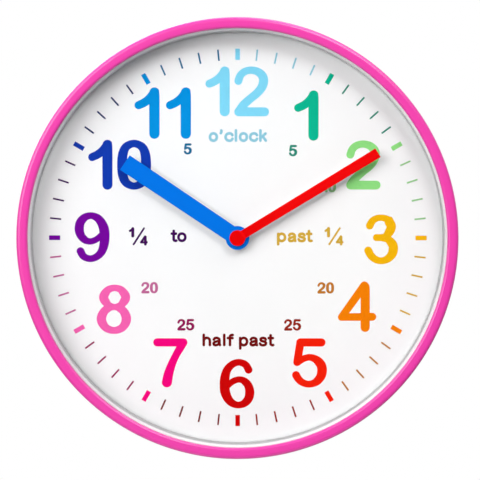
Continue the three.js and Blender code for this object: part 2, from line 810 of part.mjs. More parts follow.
const hourSize = gearSize(
  hourTeeth, hourModule, mateTooth(motionPinionSize, motionBearing + 180, hourTeeth),
);
const knobSize = gearSize(knobTeeth, motionModule, mateTooth(motionSize, knobBearing, knobTeeth));

// A pinion that meshes with a wheel lying between rear and front.
function pinion(size, rear, front = rear + trainWheelThickness) {
  return gear(size, rear - pinionOverhang, front + pinionOverhang);
}

function trainWheel(size, rear) {
  return piercedWheel(size, rear, rear + trainWheelThickness);
}

function arbor(front) {
  return cylinder(arborRadius, bridgeFront - pivotDepth, front, arborFacets);
}

const plateSeat = plateRear + pivotDepth - runningGap;

function hubBetween(rear, front) {
  return cylinder(wheelHubRadius, rear, front, arborFacets);
}

function rotor() {
  return joined([
    arbor(plateSeat),
    pinion(rotorPinionSize, intermediateRear),
    hubBetween(magnetRear - fitGap, magnetRear + magnetLength + fitGap),
  ]);
}

const magnetRear = (statorRear + statorFront - magnetLength) / 2;

function rotorMagnet() {
  return tube(wheelHubRadius + pressGap, magnetRadius, magnetRear, magnetRear + magnetLength);
}

function intermediateWheel() {
  return joined([
    arbor(plateSeat),
    trainWheel(intermediateSize, intermediateRear),
    hubBetween(intermediateRear, secondRear - pinionOverhang),
    pinion(intermediatePinionSize, secondRear),
  ]);
}

function secondWheel() {
  return joined([
    arbor(centreRear + arborReach),
    trainWheel(secondSize, secondRear),
    hubBetween(secondRear, thirdRear - pinionOverhang),
    pinion(secondPinionSize, thirdRear),
  ]);
}

function thirdWheel() {
  return joined([
    arbor(plateSeat),
    trainWheel(thirdSize, thirdRear),
    hubBetween(thirdRear, centreRear - pinionOverhang),
    pinion(thirdPinionSize, centreRear),
  ]);
}

function centreWheel() {
  const hole = cylinder(centreSeatRadius + pressGap, centreRear - cutOverrun, centreFront + cutOverrun);
  return trainWheel(centreSize, centreRear).subtract(hole);
}

// A three-armed spring washer, squeezed between the centre wheel and the minute arbor's pinion.
function clutchSpring() {
  const rear = centreFront + seatGap;
  const front = rear + clutchThickness;
  const ring = tube(centreSeatRadius + pressGap, (centreSeatRadius + clutchRadius) / 2, rear, front);
  const arms = Array.from({ length: clutchArms }, (_, i) => turned(
    block(
      [-centreSeatRadius / 2, centreSeatRadius / 2], [rear, front],
      [centreSeatRadius + pressGap * 2, clutchRadius],
    ),
    (360 * i) / clutchArms,
  ));
  return joined([ring, ...arms]);
}

function minuteArbor() {
  const headRear = centreRear - fitGap - centreHeadThickness;
  const tip = minuteHandRear - minuteSocketDepth / 2 + minuteSocketDepth - seatGap;
  const shoulder = hourHandFront + (minuteHandRear - minuteSocketDepth / 2 - hourHandFront) / 2;
  const bodyRear = motionRear + motionWheelThickness + runningGap;
  const stem = revolve([
    [0, headRear],
    [centreHeadRadius, headRear],
    [centreHeadRadius, headRear + centreHeadThickness],
    [centreSeatRadius, headRear + centreHeadThickness],
    [centreSeatRadius, bodyRear],
    [minuteArborRadius, bodyRear],
    [minuteArborRadius, shoulder],
    [centreSeatRadius, shoulder],
    [centreSeatRadius, tip],
    [0, tip],
  ]);
  const core = cylinder(minuteArborCore, headRear - cutOverrun, plateRear, arborFacets);
  return stem.add(pinion(cannonSize, motionRear, motionRear + motionWheelThickness)).subtract(core);
}

function hourWheel() {
  const front = hourWheelRear + motionWheelThickness;
  const bore = cylinder(hourTubeBore, hourWheelRear - cutOverrun, hourHandFront + cutOverrun);
  const barrel = cylinder(hourTubeRadius, hourWheelRear, hourHandFront);
  return gear(hourSize, hourWheelRear, front).add(barrel).subtract(bore);
}

function motionWheel() {
  const front = motionRear + motionWheelThickness;
  const pinionRear = hourWheelRear;
  const bore = cylinder(
    motionPostRadius + runningGap, motionRear - cutOverrun, plateRear + cutOverrun, arborFacets,
  );
  return joined([
    gear(motionSize, motionRear, front),
    gear(motionPinionSize, front - pinionOverhang, pinionRear + motionWheelThickness + pinionOverhang),
  ]).subtract(bore);
}

// The knob's rim has shallow ridges for a fingertip.
function settingKnob() {
  const rear = rearGap - fitGap - knobThickness;
  const front = rearGap - fitGap;
  const points = Array.from({ length: knobRidges * 2 }, (_, i) => {
    const point = axisFrom(origin, knobRadius - (i % 2) * knobRidgeDepth, (180 * i) / knobRidges);
    return [point.x, point.z];
  });
  return joined([
    slab(outline(points), rear, front),
    cylinder(knobShaftRadius, rear + knobThickness / 2, motionRear),
    cylinder(arborRadius, rear + knobThickness / 2, plateSeat, arborFacets),
    pinion(knobSize, motionRear, motionRear + motionWheelThickness),
  ]);
}

// Motor

const coreFront = statorFront + seatGap + coreThickness;
const coreMiddle = coreFront - coreThickness / 2;
const coilHalfLength = statorHalfLength - statorLegWidth - fitGap;

function stator() {
  const bore = magnetRadius + airGap;
  const half = statorLegWidth / 2;
  const low = rotorAxis.z - half;
  const high = coilAxis.z + half;
  const depth = [statorRear, statorFront];
  const sheet = joined([
    block([statorLeft, statorRight], depth, [low, rotorAxis.z + half]),
    block([statorLeft, statorLeft + statorLegWidth], depth, [low, high]),
    block([statorRight - statorLegWidth, statorRight], depth, [low, high]),
    at(cylinder(bore + statorRim, statorRear, statorFront), rotorAxis),
  ]);
  return sheet.subtract(at(cylinder(bore, statorRear - cutOverrun, statorFront + cutOverrun), rotorAxis));
}

function coilCore() {
  return block(
    [statorLeft, statorRight], [coreFront - coreThickness, coreFront],
    [coilAxis.z - coreWidth / 2, coilAxis.z + coreWidth / 2],
  );
}

// A solid of revolution along X about the coil's axis, from a profile of [radius, distance] points.
function coilRevolve(profile) {
  return revolve(profile).rotate([0, 0, 90]).translate([coilAxis.x, -coreMiddle, coilAxis.z]);
}

const bobbinTubeRadius = Math.hypot(coreWidth, coreThickness) / 2 + pressGap + bobbinWall;

function coilBobbin() {
  const outer = coilHalfLength;
  const inner = coilHalfLength - bobbinFlangeThickness;
  const rim = bobbinFlange / 2;
  const solid = coilRevolve([
    [0, -outer], [rim, -outer], [rim, -inner], [bobbinTubeRadius, -inner],
    [bobbinTubeRadius, inner], [rim, inner], [rim, outer], [0, outer],
  ]);
  const slot = block(
    [coilAxis.x - outer - cutOverrun, coilAxis.x + outer + cutOverrun],
    [coreFront - coreThickness - pressGap, coreFront + pressGap],
    [coilAxis.z - coreWidth / 2 - pressGap, coilAxis.z + coreWidth / 2 + pressGap],
  );
  return solid.subtract(slot);
}

function coilWinding() {
  const half = coilHalfLength - bobbinFlangeThickness - seatGap;
  const bore = bobbinTubeRadius + pressGap;
  return coilRevolve([[bore, -half], [windingRadius, -half], [windingRadius, half], [bore, half]]);
}

// Circuit board

const boardLeft = fitGap + lipRoom - roomHalfWidth;
const boardWidth = pillarAxes[0].x - pillarRadius - fitGap - boardLeft;
const boardHeight = roomHalfHeight - lipRoom - boardHeadroom - boardLow;
const boardRear = coreFront - boardThickness;
const boardMiddle = { x: boardLeft + boardWidth / 2, z: boardLow + boardHeight / 2 };

function boardPosts() {
  return [-1, 1].map((side) => at(
    cylinder(
      coilPostRadius, boardRear + boardThickness + seatGap, plateRear + plateThickness / 2, arborFacets,
    ),
    { x: boardMiddle.x, z: boardMiddle.z + (side * boardHeight) / 3 },
  ));
}

function circuitBoard() {
  const board = block(
    [boardLeft, boardLeft + boardWidth], [boardRear, boardRear + boardThickness],
    [boardLow, boardLow + boardHeight],
  );
  const chip = at(
    revolve([
      [0, boardRear + boardThickness / 2], [chipRadius, boardRear + boardThickness / 2],
      [chipRadius, boardRear - chipHeight / 2], [chipRadius / 2, boardRear - chipHeight],
      [0, boardRear - chipHeight],
    ]),
    { x: boardMiddle.x, z: boardMiddle.z - chipRadius },
  );
  return board.add(chip);
}

function quartzCrystal() {
  const geometry = new THREE.CylinderGeometry(crystalRadius, crystalRadius, crystalLength, arborFacets);
  geometry.rotateZ(Math.PI / 2);
  geometry.translate(boardMiddle.x, seatGap + crystalRadius - boardRear, boardMiddle.z + boardHeight / 4);
  return solidOf(geometry);
}

// Battery and contacts

function battery() {
  const half = batteryLength / 2;
  const shoulder = half - batteryButtonLength;
  const profile = [
    [0, -half], [batteryRadius - batteryCrimp, -half], [batteryRadius, batteryCrimp - half],
    [batteryRadius, shoulder - batteryCrimp], [batteryRadius - batteryCrimp, shoulder],
    [batteryButtonRadius, shoulder], [batteryButtonRadius, half], [0, half],
  ];
  return revolve(profile).rotate([0, 0, 90]).translate([0, -batteryForward, batteryHeight]);
}

// A contact stands against the end wall of the bay, bulges towards the battery and has a tail
// that passes the end of the partition. Built at the right-hand end.
function contactBlade(tailTop) {
  const outer = roomHalfWidth - fitGap / 2;
  const inner = outer - contactThickness;
  const depth = [batteryForward - contactWidth / 2, batteryForward + contactWidth / 2];
  const blade = block([inner, outer], depth, [batteryHeight - contactWidth, bayCeiling]);
  const bulge = new THREE.CylinderGeometry(
    contactWidth / 4, contactWidth / 2 - contactThickness, contactBulge + contactThickness / 2, arborFacets,
  );
  bulge.rotateZ(Math.PI / 2);
  bulge.translate(
    inner + contactThickness / 2 - (contactBulge + contactThickness / 2) / 2,
    -batteryForward, batteryHeight,
  );
  const tailDepth = [boardRear - stripWidth / 2, boardRear + stripWidth];
  const tail = block([inner, outer], tailDepth, [batteryHeight, tailTop]);
  return joined([blade, solidOf(bulge), tail]);
}

// The far contact's strip runs along the partition to the circuit board.
function longContact() {
  const outer = roomHalfWidth - fitGap / 2;
  const low = seatGap - bayTop;
  const depth = [boardRear - stripWidth / 2, boardRear + stripWidth];
  const end = boardLeft + boardWidth * riserShare;
  const strip = block([end, outer], depth, [low, low + contactThickness]);
  const riser = block([end, end + contactThickness], depth, [low, boardLow - seatGap]);
  return joined([contactBlade(low + contactThickness), strip, riser]);
}

function shortContact() {
  return turnedToLeft(contactBlade(boardLow - seatGap));
}

function turnedToLeft(solid) {
  return solid.mirror([1, 0, 0]);
}

addPiece('case_ring', caseRing(), pink);
addPiece('lens', lens(), clear);
addPiece('spacer_ring', spacerRing(), white);
addPiece('dial', dial(), card);
addPiece('back_plate', backPlate(), white);
addPiece('hanging_box', hangingBox(), white);
addPiece('hour_hand', hourHand(), blue);
addPiece('minute_hand', minuteHand(), red);
addPiece('movement_plate', movementPlate(), black);
addPiece('movement_cover', movementCover(), black);
addPiece('train_bridge', bridge(), black);
addPiece('minute_arbor', minuteArbor(), acetal);
addPiece('hour_wheel', hourWheel(), acetal);
addPiece('motion_wheel', motionWheel(), acetal, motionAxis);
addPiece('setting_knob', settingKnob(), acetal, knobAxis);
addPiece('centre_wheel', centreWheel(), acetal);
addPiece('clutch_spring', clutchSpring(), brass);
addPiece('third_wheel', thirdWheel(), acetal, thirdAxis);
addPiece('second_wheel', secondWheel(), acetal);
addPiece('intermediate_wheel', intermediateWheel(), acetal, intermediateAxis);
addPiece('rotor', rotor(), acetal, rotorAxis);
addPiece('rotor_magnet', rotorMagnet(), steel, rotorAxis);
addPiece('stator', stator(), steel);
addPiece('coil_core', coilCore(), steel);
addPiece('coil_bobbin', coilBobbin(), white);
addPiece('coil_winding', coilWinding(), copper);
addPiece('circuit_board', circuitBoard(), laminate);
addPiece('quartz_crystal', quartzCrystal(), steel);
addPiece('battery', battery(), sleeve);
addPiece('contact_positive', longContact(), steel);
addPiece('contact_negative', shortContact(), steel);

export default clock;
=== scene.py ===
"""The looks of a round teaching wall clock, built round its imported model.

Metres, +Z up. The dial faces -Y, the wall is the plane y = 0 and the hands turn about a line along Y.
"Forward" is the distance in front of the wall, so y = -forward.
"""

import contextlib
import math

import bpy
from mathutils import Matrix, Vector


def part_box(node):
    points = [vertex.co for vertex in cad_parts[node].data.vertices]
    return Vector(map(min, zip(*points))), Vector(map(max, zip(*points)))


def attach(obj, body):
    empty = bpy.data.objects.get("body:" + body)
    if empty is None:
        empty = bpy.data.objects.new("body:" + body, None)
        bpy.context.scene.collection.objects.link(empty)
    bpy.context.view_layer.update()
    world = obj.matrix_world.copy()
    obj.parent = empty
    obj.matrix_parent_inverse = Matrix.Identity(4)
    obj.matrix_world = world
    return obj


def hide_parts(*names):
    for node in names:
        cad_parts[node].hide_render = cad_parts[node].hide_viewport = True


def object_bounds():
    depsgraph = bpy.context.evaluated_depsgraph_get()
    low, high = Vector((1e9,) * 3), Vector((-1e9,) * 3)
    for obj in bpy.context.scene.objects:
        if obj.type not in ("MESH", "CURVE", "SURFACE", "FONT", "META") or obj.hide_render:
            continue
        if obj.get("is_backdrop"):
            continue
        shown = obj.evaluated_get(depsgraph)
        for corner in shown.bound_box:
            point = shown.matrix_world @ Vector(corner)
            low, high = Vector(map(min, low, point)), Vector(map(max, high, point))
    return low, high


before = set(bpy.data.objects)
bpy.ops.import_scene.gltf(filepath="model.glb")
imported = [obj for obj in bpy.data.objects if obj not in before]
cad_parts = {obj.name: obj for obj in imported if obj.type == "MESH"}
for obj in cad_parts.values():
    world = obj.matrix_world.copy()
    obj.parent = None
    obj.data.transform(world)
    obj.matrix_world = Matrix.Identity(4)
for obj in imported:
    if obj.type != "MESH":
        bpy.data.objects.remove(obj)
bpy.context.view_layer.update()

MM = 0.001

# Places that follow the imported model


def forward_of(node):
    """How far forward a node's rear and front faces lie."""
    low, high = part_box(node)
    return -high.y, -low.y


def radius_of(node):
    low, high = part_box(node)
    return (high.x - low.x) / 2


def middle_of(node):
    low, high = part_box(node)
    return (low + high) / 2


CASE_FRONT = forward_of("case_ring")[1]
SPACER_REAR, SPACER_FRONT = forward_of("spacer_ring")
LENS_REAR, LENS_FRONT = forward_of("lens")
DIAL_REAR, DIAL_FRONT = forward_of("dial")
PLATE_FRONT = forward_of("back_plate")[1]
HOUR_HAND_REAR, HOUR_HAND_FRONT = forward_of("hour_hand")
MINUTE_HAND_REAR, MINUTE_HAND_FRONT = forward_of("minute_hand")
CASE_RADIUS = radius_of("case_ring")
SPACER_OUTER_RADIUS = radius_of("spacer_ring")
LENS_RADIUS = radius_of("lens")
DIAL_RADIUS = radius_of("dial")
AXIS = Vector((0, 0, middle_of("case_ring").z))

# Small things used all over
WELD = 0.002 * MM
EDGE = 0.2 * MM
SMALL_FILLET = 0.35 * MM
FILLET_STEPS = 7
SHARP_OVER = 30
SMOOTH_WITHIN = 35
FLAT_WITHIN = 1
RING_STEPS = 240
HUB_STEPS = 96
HOLE_STEPS = 48

# Case, spacer ring, lens and dial
CASE_WALL = 3.0 * MM
CASE_DRAFT = 1.0 * MM
BEZEL_WIDTH = 5.1 * MM
BEZEL_CROWN = 0.12 * MM
BEZEL_OUTER_FILLET = 1.7 * MM
BEZEL_INNER_FILLET = 1.4 * MM
BEZEL_SEAT = 0.1 * MM
SPACER_FLARE = 1.3 * MM
SPACER_LIP_HEIGHT = 1.5 * MM
CATCHES = 6
CATCH_STEPS = 8
CATCH_WIDTH = 9 * MM
CATCH_LENGTH = 4.5 * MM
CATCH_REACH = 1.8 * MM
CATCH_SINK = 0.6 * MM
PLATE_THICKNESS = 1.8 * MM
FIT_GAP = 0.3 * MM
DIAL_HOLE_RADIUS = 4.4 * MM
DIAL_FILLET = 0.12 * MM
DIAL_CREASE = 0.3 * MM
DIAL_CREASE_DEPTH = 0.5 * MM
LENS_GLOSS = 0.3

# Back plate: ribs, hoop, rails beside the movement and the clips that hold it
PLATE_HOLE_RADIUS = 4.2 * MM
PLATE_HOLE_FILLET = 0.25 * MM
RIBS = 12
RIB_INNER_RADIUS = 46 * MM
RIB_SHORT_RADIUS = 51 * MM
RIB_OUTER_RADIUS = 91 * MM
RIB_HEIGHT = 6 * MM
RIB_HALF = 0.7 * MM
RIB_TIP_HALF = 0.5 * MM
RIB_TIP_FILLET = 0.25 * MM
FOOT_HALF = 1.2 * MM
FOOT_HEIGHT = 0.55 * MM
FOOT_LIP = 0.05 * MM
HOOP_RADIUS = 68.5 * MM
HOOP_HEIGHT = 4 * MM
HOOP_START = 10.8
RAIL_FOOT = 28.3 * MM
RAIL_THICKNESS = 1.6 * MM
RAIL_HEIGHT = 5 * MM
RAIL_LENGTH = 38 * MM
RAIL_FILLET = 0.3 * MM
CLIP_FOOT = 30.3 * MM
CLIP_THICKNESS = 1.6 * MM
CLIP_WIDTH = 9 * MM
CLIP_REAR = 14.9 * MM
CLIP_HOOK = 1.4 * MM
CLIP_HOOK_HEIGHT = 1.6 * MM
CLIP_RAMP = 1.0 * MM
CLIP_LIP = 0.5 * MM
CLIP_FILLET = 0.1 * MM
PIN_MARKS = 6
PIN_MARK_RADIUS = 2.6 * MM
PIN_MARK_DEPTH = 0.15 * MM
PIN_MARK_PLACE = 81 * MM

# Hanging box
HANGER_FOOT = 2.5 * MM
HANGER_FOOT_THICKNESS = 1.6 * MM
HANGER_WALL = 1.6 * MM
HANGER_BACK = 2.2 * MM
HANGER_CORNER = 1.2 * MM
KEYHOLE_RADIUS = 5.2 * MM
SLOT_WIDTH = 5.2 * MM
SLOT_LENGTH = 9 * MM
KEYHOLE_STEPS = 64

# Movement back, setting knob and battery
MOVEMENT_CORNER = 3 * MM
LID_THICKNESS = 1.4 * MM
BATTERY_MIDDLE = Vector((0, -9.4, -89.05)) * MM
WINDOW_HALF_LENGTH = 25.55 * MM
WINDOW_HALF_HEIGHT = 7.5 * MM
WINDOW_CORNER = 0.6 * MM
KNOB_HOLE_RADIUS = 1.45 * MM
KNOB_SEAT_RADIUS = 6.8 * MM
KNOB_DISH_RADIUS = 4.2 * MM
KNOB_DISH_DEPTH = 0.5 * MM
KNOB_SEAT_DEPTH = 0.3 * MM
KNOB_EDGE = 0.08 * MM
INSIDE_EDGE = 0.05 * MM
RELIEF = 0.2 * MM
ARROW_RADIUS = 8.6 * MM
ARROW_WIDTH = 0.9 * MM
ARROW_REACH = 74
ARROW_STEPS = 36
ARROW_HEAD_REACH = 6
ARROW_HEAD_RADIUS = 1.7 * MM
ARROW_HEAD_CORNERS = 3
SIGN_LENGTH = 3 * MM
SIGN_WIDTH = 0.8 * MM
SIGN_ACROSS = 22.6 * MM
SIGN_ABOVE = 2.9 * MM

# Sections of the battery's pieces, as (radius, distance from its middle, fillet) in millimetres
SLEEVE_SECTION = (
    (0, -24.7, 0), (6.2, -24.7, 0), (6.2, -25.0, 0.1), (6.7, -25.0, 0.15), (7.1, -24.4, 0.3),
    (7.1, 23.2, 0.3), (6.7, 23.75, 0.15), (6.2, 23.75, 0.1), (6.2, 23.5, 0), (0, 23.5, 0))
BUTTON_SECTION = (
    (0, 25.15, 0), (2.7, 25.15, 0.35), (2.75, 24.0, 0.15), (6.2, 23.68, 0), (6.2, 23.3, 0), (0, 23.3, 0))
BASE_SECTION = (
    (0, -25.15, 0), (5.0, -25.15, 0.2), (5.4, -24.85, 0.1), (6.2, -24.85, 0), (6.2, -24.5, 0), (0, -24.5, 0))
SLEEVE_BAND = (13.5, 21.5)
SLEEVE_LINE = (11.6, 12.4)

# Hands
HOUR_HAND_BEARING = 303.8
MINUTE_HAND_BEARING = 58.7
HAND_EDGE = 0.12 * MM
HAND_THICKNESS = 0.6 * MM
HAND_BACK_GREY = (180, 180, 182)
HOUR_HAND_LENGTH = 61.6 * MM
HOUR_HAND_ROOT = 7.4 * MM
HOUR_HAND_TIP = 7.9 * MM
HOUR_HUB_RADIUS = 5.4 * MM
HOUR_COLLET_RADIUS = 3.55 * MM
HOUR_BORE_RADIUS = 2.55 * MM
MINUTE_HAND_LENGTH = 74.6 * MM
MINUTE_HAND_ROOT = 4.0 * MM
MINUTE_HAND_TIP = 4.6 * MM
MINUTE_HUB_RADIUS = 3.6 * MM
MINUTE_SOCKET_RADIUS = 1.25 * MM
MINUTE_SOCKET_DEPTH = 0.7 * MM

# Print on the dial
INK_THICKNESS = 0.03 * MM
MARK_CENTRE = AXIS - Vector((0, 0, 0.1 * MM))
MARK_INNER_RADIUS = 81.0 * MM
MARK_OUTER_RADIUS = 86.1 * MM
HOUR_STEP = 30
MINUTE_STEP = 6
HOUR_MARK_WIDTH = 2.1 * MM
MINUTE_MARK_WIDTH = 0.76 * MM
FIGURE_GAP_SHARE = 0.11
FIGURE_GAPS = {10: 0.112, 11: 0.142}
SMALL_WEIGHT = 1.42
QUARTER_WEIGHT = 1.75
FIGURE_WEIGHT = 1.1
LONG_RUN = 6
CURVE_STEPS = 8
CAP_STEPS = 10
FOLD_SHARE = 0.995

# Ink of each hour, as seen on the dial
HOUR_INKS = {
    12: (134, 225, 255), 1: (8, 190, 151), 2: (150, 233, 136), 3: (255, 190, 10),
    4: (255, 134, 0), 5: (255, 32, 4), 6: (213, 0, 0), 7: (255, 0, 130),
    8: (255, 103, 184), 9: (120, 0, 160), 10: (16, 60, 180), 11: (0, 150, 230),
}

# Fine print: its depth in black, how much of its colour goes, and the grey from which it keeps all
FINE_DEPTH = 0.58
FINE_DULLNESS = 0.3
FINE_FULL_GREY = 225
EYE_SHARES = (0.299, 0.587, 0.114)

# Lower left corner and height of each hour's figures, in millimetres from the hands' axis
HOUR_FIGURES = {
    12: (-14.5, 55.45, 22.3), 1: (25.85, 44.35, 22.5), 2: (49.6, 22.15, 22.0),
    3: (57.85, -11.9, 22.3), 4: (45.9, -42.8, 22.8), 5: (25.0, -68.3, 22.15),
    6: (-8.0, -77.95, 22.3), 7: (-38.35, -68.35, 22.15), 8: (-64.2, -43.95, 22.3),
    9: (-74.2, -11.0, 22.4), 10: (-68.0, 22.0, 22.4), 11: (-46.8, 45.2, 23.05),
}

# Small minute figures: text, hour whose ink they take, and their place as above
MINUTE_FIGURES = {
    "5_past": ("5", 1, 23.5, 37.2, 4.9), "5_to": ("5", 11, -24.4, 38.0, 4.8),
    "10_past": ("10", 2, 38.45, 20.8, 4.9), "10_to": ("10", 10, -42.3, 23.4, 4.9),
    "20_past": ("20", 4, 36.55, -25.35, 4.9), "20_to": ("20", 8, -43.8, -25.35, 4.9),
    "25_past": ("25", 5, 21.35, -42.3, 4.95), "25_to": ("25", 7, -27.4, -42.3, 4.95),
}

# Words of the time scale: text, hour whose ink they take, baseline and the left edge of each letter
WORD_HEIGHT = 5.68
WORDS = {
    "o_clock": ("o'clock", 12, 43.7, (-13.1, -8.0, -6.0, -1.3, 0.6, 5.2, 9.85)),
    "half_past": ("halfpast", 6, -49.6, (-16.0, -11.5, -6.65, -4.85, 0.65, 5.4, 9.75, 13.8)),
    "past": ("past", 3, -2.0, (17.95, 22.85, 27.35, 31.25)),
    "to": ("to", 9, -1.95, (-30.4, -27.5)),
}

# Fractions: hour whose ink they take, lower left corner and height
QUARTERS = {"quarter_past": (3, 39.8, -3.3, 7.9), "quarter_to": (9, -49.45, -3.4, 7.9)}

# Strokes of the figures, as (x, y, width) in thousandths of the figure's height. "corner" ends one
# run of a stroke and starts the next at the same point; "closed" joins the last point to the first.
FIGURES = {
    "0": [[(337, 932, 138), (493, 868, 155), (564, 720, 176), (581, 500, 186), (564, 280, 176),
         (493, 132, 155), (337, 66, 132), (181, 132, 155), (111, 280, 176), (95, 500, 186), (111, 720, 176),
         (181, 868, 155), "closed"]],
    "1": [[(388, 905, 170), (386, 800, 186), (386, 94, 186)],
        [(75, 656, 148), (186, 708, 152), (290, 788, 156), (388, 910, 160)]],
    "2": [[(77, 713, 148), (118, 824, 142), (208, 903, 137), (335, 932, 136), (470, 901, 148),
         (562, 822, 162), (592, 718, 170), (560, 596, 166), (465, 470, 158), (322, 352, 155),
         (180, 222, 160), (85, 83, 166), "corner", (612, 83, 166)]],
    "3": [[(104, 779, 140), (156, 872, 132), (241, 927, 122), (340, 942, 118), (444, 918, 130),
         (516, 855, 155), (542, 765, 176), (516, 660, 160), (444, 570, 135), (359, 540, 128),
         (241, 536, 130)],
        [(359, 532, 128), (482, 500, 140), (569, 405, 165), (587, 305, 174), (558, 195, 165),
         (468, 100, 142), (338, 62, 126), (217, 95, 134), (130, 170, 142), (74, 272, 146)]],
    "4": [[(521, 922, 150), (68, 288, 136), "corner", (679, 295, 146)],
        [(530, 900, 165), (538, 800, 166), (538, 83, 166)]],
    "5": [[(598, 924, 154), (165, 924, 154), "corner", (98, 515, 146)],
        [(98, 515, 140), (235, 590, 126), (374, 615, 128), (513, 555, 155), (592, 455, 178),
         (611, 343, 182), (582, 216, 172), (490, 108, 146), (345, 62, 128), (212, 96, 135), (127, 166, 143),
         (75, 250, 148)]],
    "6": [[(583, 787, 145), (535, 875, 138), (469, 922, 130), (370, 940, 126), (252, 899, 135),
         (151, 795, 152), (101, 640, 172), (90, 480, 182), (105, 329, 183), (159, 198, 165),
         (244, 105, 145), (368, 63, 126), (492, 97, 140), (578, 190, 163), (607, 325, 172), (580, 453, 158),
         (500, 554, 135), (384, 588, 118), (267, 552, 118), (178, 480, 112), (120, 400, 90)]],
    "7": [[(75, 923, 154), (612, 923, 154), "corner", (545, 806, 150), (456, 650, 140), (374, 473, 152),
         (309, 280, 176), (272, 96, 190)]],
    "8": [[(361, 939, 121), (508, 888, 140), (586, 745, 170), (510, 605, 135), (361, 549, 112),
         (212, 605, 135), (134, 745, 170), (214, 888, 140), "closed"],
        [(346, 544, 112), (516, 490, 150), (600, 305, 178), (520, 130, 150), (346, 66, 130),
         (172, 130, 150), (88, 305, 176), (176, 490, 150), "closed"]],
}
FIGURE_WIDTH_SHARES = {
    "0": 0.676, "1": 0.479, "2": 0.695, "3": 0.674, "4": 0.752, "5": 0.702, "6": 0.693,
    "7": 0.690, "8": 0.689, "9": 0.693,
}

# Strokes of the letters, as (x, y) in thousandths of the height of a tall letter
LETTER_STROKE_SHARE = 0.215
LETTERS = {
    "o": [[(365, 668), (565, 583), (637, 375), (565, 167), (365, 82), (165, 167), (93, 375), (165, 583),
         "closed"]],
    "'": [[(100, 900), (105, 800), (60, 680)]],
    "c": [[(637, 520), (545, 632), (372, 668), (175, 583), (93, 375), (175, 167), (372, 82), (545, 118),
         (642, 235)]],
    "l": [[(93, 907), (93, 93)]],
    "k": [[(93, 907), (93, 93)],
        [(500, 655), (150, 335)],
        [(270, 430), (525, 93)]],
    "h": [[(93, 907), (93, 93)],
        [(110, 500), (210, 632), (355, 668), (500, 615), (575, 470), (585, 93)]],
    "a": [[(110, 530), (190, 632), (345, 668), (500, 615), (560, 490), (562, 220), (600, 93)],
        [(560, 430), (360, 385), (160, 315), (97, 210), (155, 108), (290, 80), (460, 145), (560, 270)]],
    "f": [[(460, 905), (330, 885), (250, 800), (240, 680), (240, 93)],
        [(70, 655), (440, 655)]],
    "p": [[(93, 655), (93, -180)],
        [(372, 668), (570, 583), (642, 375), (570, 167), (372, 82), (170, 167), (100, 375), (170, 583),
         "closed"]],
    "s": [[(545, 540), (455, 640), (310, 668), (165, 620), (130, 520), (205, 435), (350, 390), (500, 335),
         (560, 235), (490, 120), (320, 80), (160, 115), (80, 220)]],
    "t": [[(220, 880), (220, 250), (255, 130), (350, 88), (430, 95)],
        [(70, 655), (400, 655)]],
}
SLASH_SHARES = [(0.850, 0.962), (0.250, 0.038)]
SLASH_STROKE_SHARE = 0.11
QUARTER_FOUR_SHARE = 0.645
QUARTER_FIGURE_SHARE = 0.53

# The view and the light
VIEW_DISTANCE = 1.35
VIEW_RIGHT = 1.1
VIEW_ABOVE = 2.3
FRAME_PIXELS = 480
RIM_PIXELS = 221.6
DIAL_CENTRE_PIXEL = (237.6, 237.6)
SENSOR_WIDTH = 36
FLOOR_RADIUS = 0.8
FLOOR_HEIGHT = -0.95
FLOOR_STEPS = 128

# Lamps: degrees off the dial's axis, clockwise bearing, size and power. The rear lamp: place from the
# hands' axis, size and power.
LAMP_DISTANCE = 1.9
LAMPS = {
    "key": (43, 298, 1.5, 32.4), "upper": (42, 26, 0.75, 16.1), "lower": (24, 222, 0.8, 1.4),
    "top": (74, 28, 1.5, 13.5), "rim": (104, 5, 0.9, 9),
}
REAR_LAMP = (Vector((-1.1, 1.9, 1.1)), 2.0, 40)
AMBIENT = 0.13

# What the gloss mirrors gets darker towards the viewer and downwards: from, to, lowest and highest
ROOM_FADE = (-0.5, 0.3, 0.05, 1.0)
SKY_FADE = (-0.9, 0.1, 0.12, 1.0)


# Modelling helpers


def select_only(*pieces):
    bpy.ops.object.select_all(action="DESELECT")
    for piece in pieces:
        piece.select_set(True)
    bpy.context.view_layer.objects.active = pieces[0]


def primitive(name):
    """Names the primitive that was just added, and applies its place to its mesh."""
    piece = named(bpy.context.active_object, name)
    select_only(piece)
    bpy.ops.object.transform_apply(location=True, rotation=True, scale=True)
    return piece


def modified(piece, kind, **settings):
    """Adds a modifier with these settings and applies it."""
    select_only(piece)
    modifier = piece.modifiers.new(kind.title(), kind)
    for key, value in settings.items():
        setattr(modifier, key, value)
    bpy.ops.object.modifier_apply(modifier=modifier.name)
    return piece


def cut_by(piece, tool, operation="DIFFERENCE"):
    modified(piece, "BOOLEAN", object=tool, operation=operation, solver="MANIFOLD")
    bpy.data.objects.remove(tool)
    return piece


def added_to(piece, *others):
    for other in others:
        cut_by(piece, other, "UNION")
    return piece


def edges_broken(piece, width, segments=2):
    """Gives every sharp edge a small round."""
    return modified(
        piece, "BEVEL", width=width, segments=segments, limit_method="ANGLE",
        angle_limit=math.radians(SHARP_OVER))


def weighted(piece):
    """Smooth shading that keeps flat faces flat beside their rounded edges."""
    select_only(piece)
    bpy.ops.object.shade_smooth_by_angle(angle=math.radians(SMOOTH_WITHIN))
    return modified(piece, "WEIGHTED_NORMAL", keep_sharp=True)


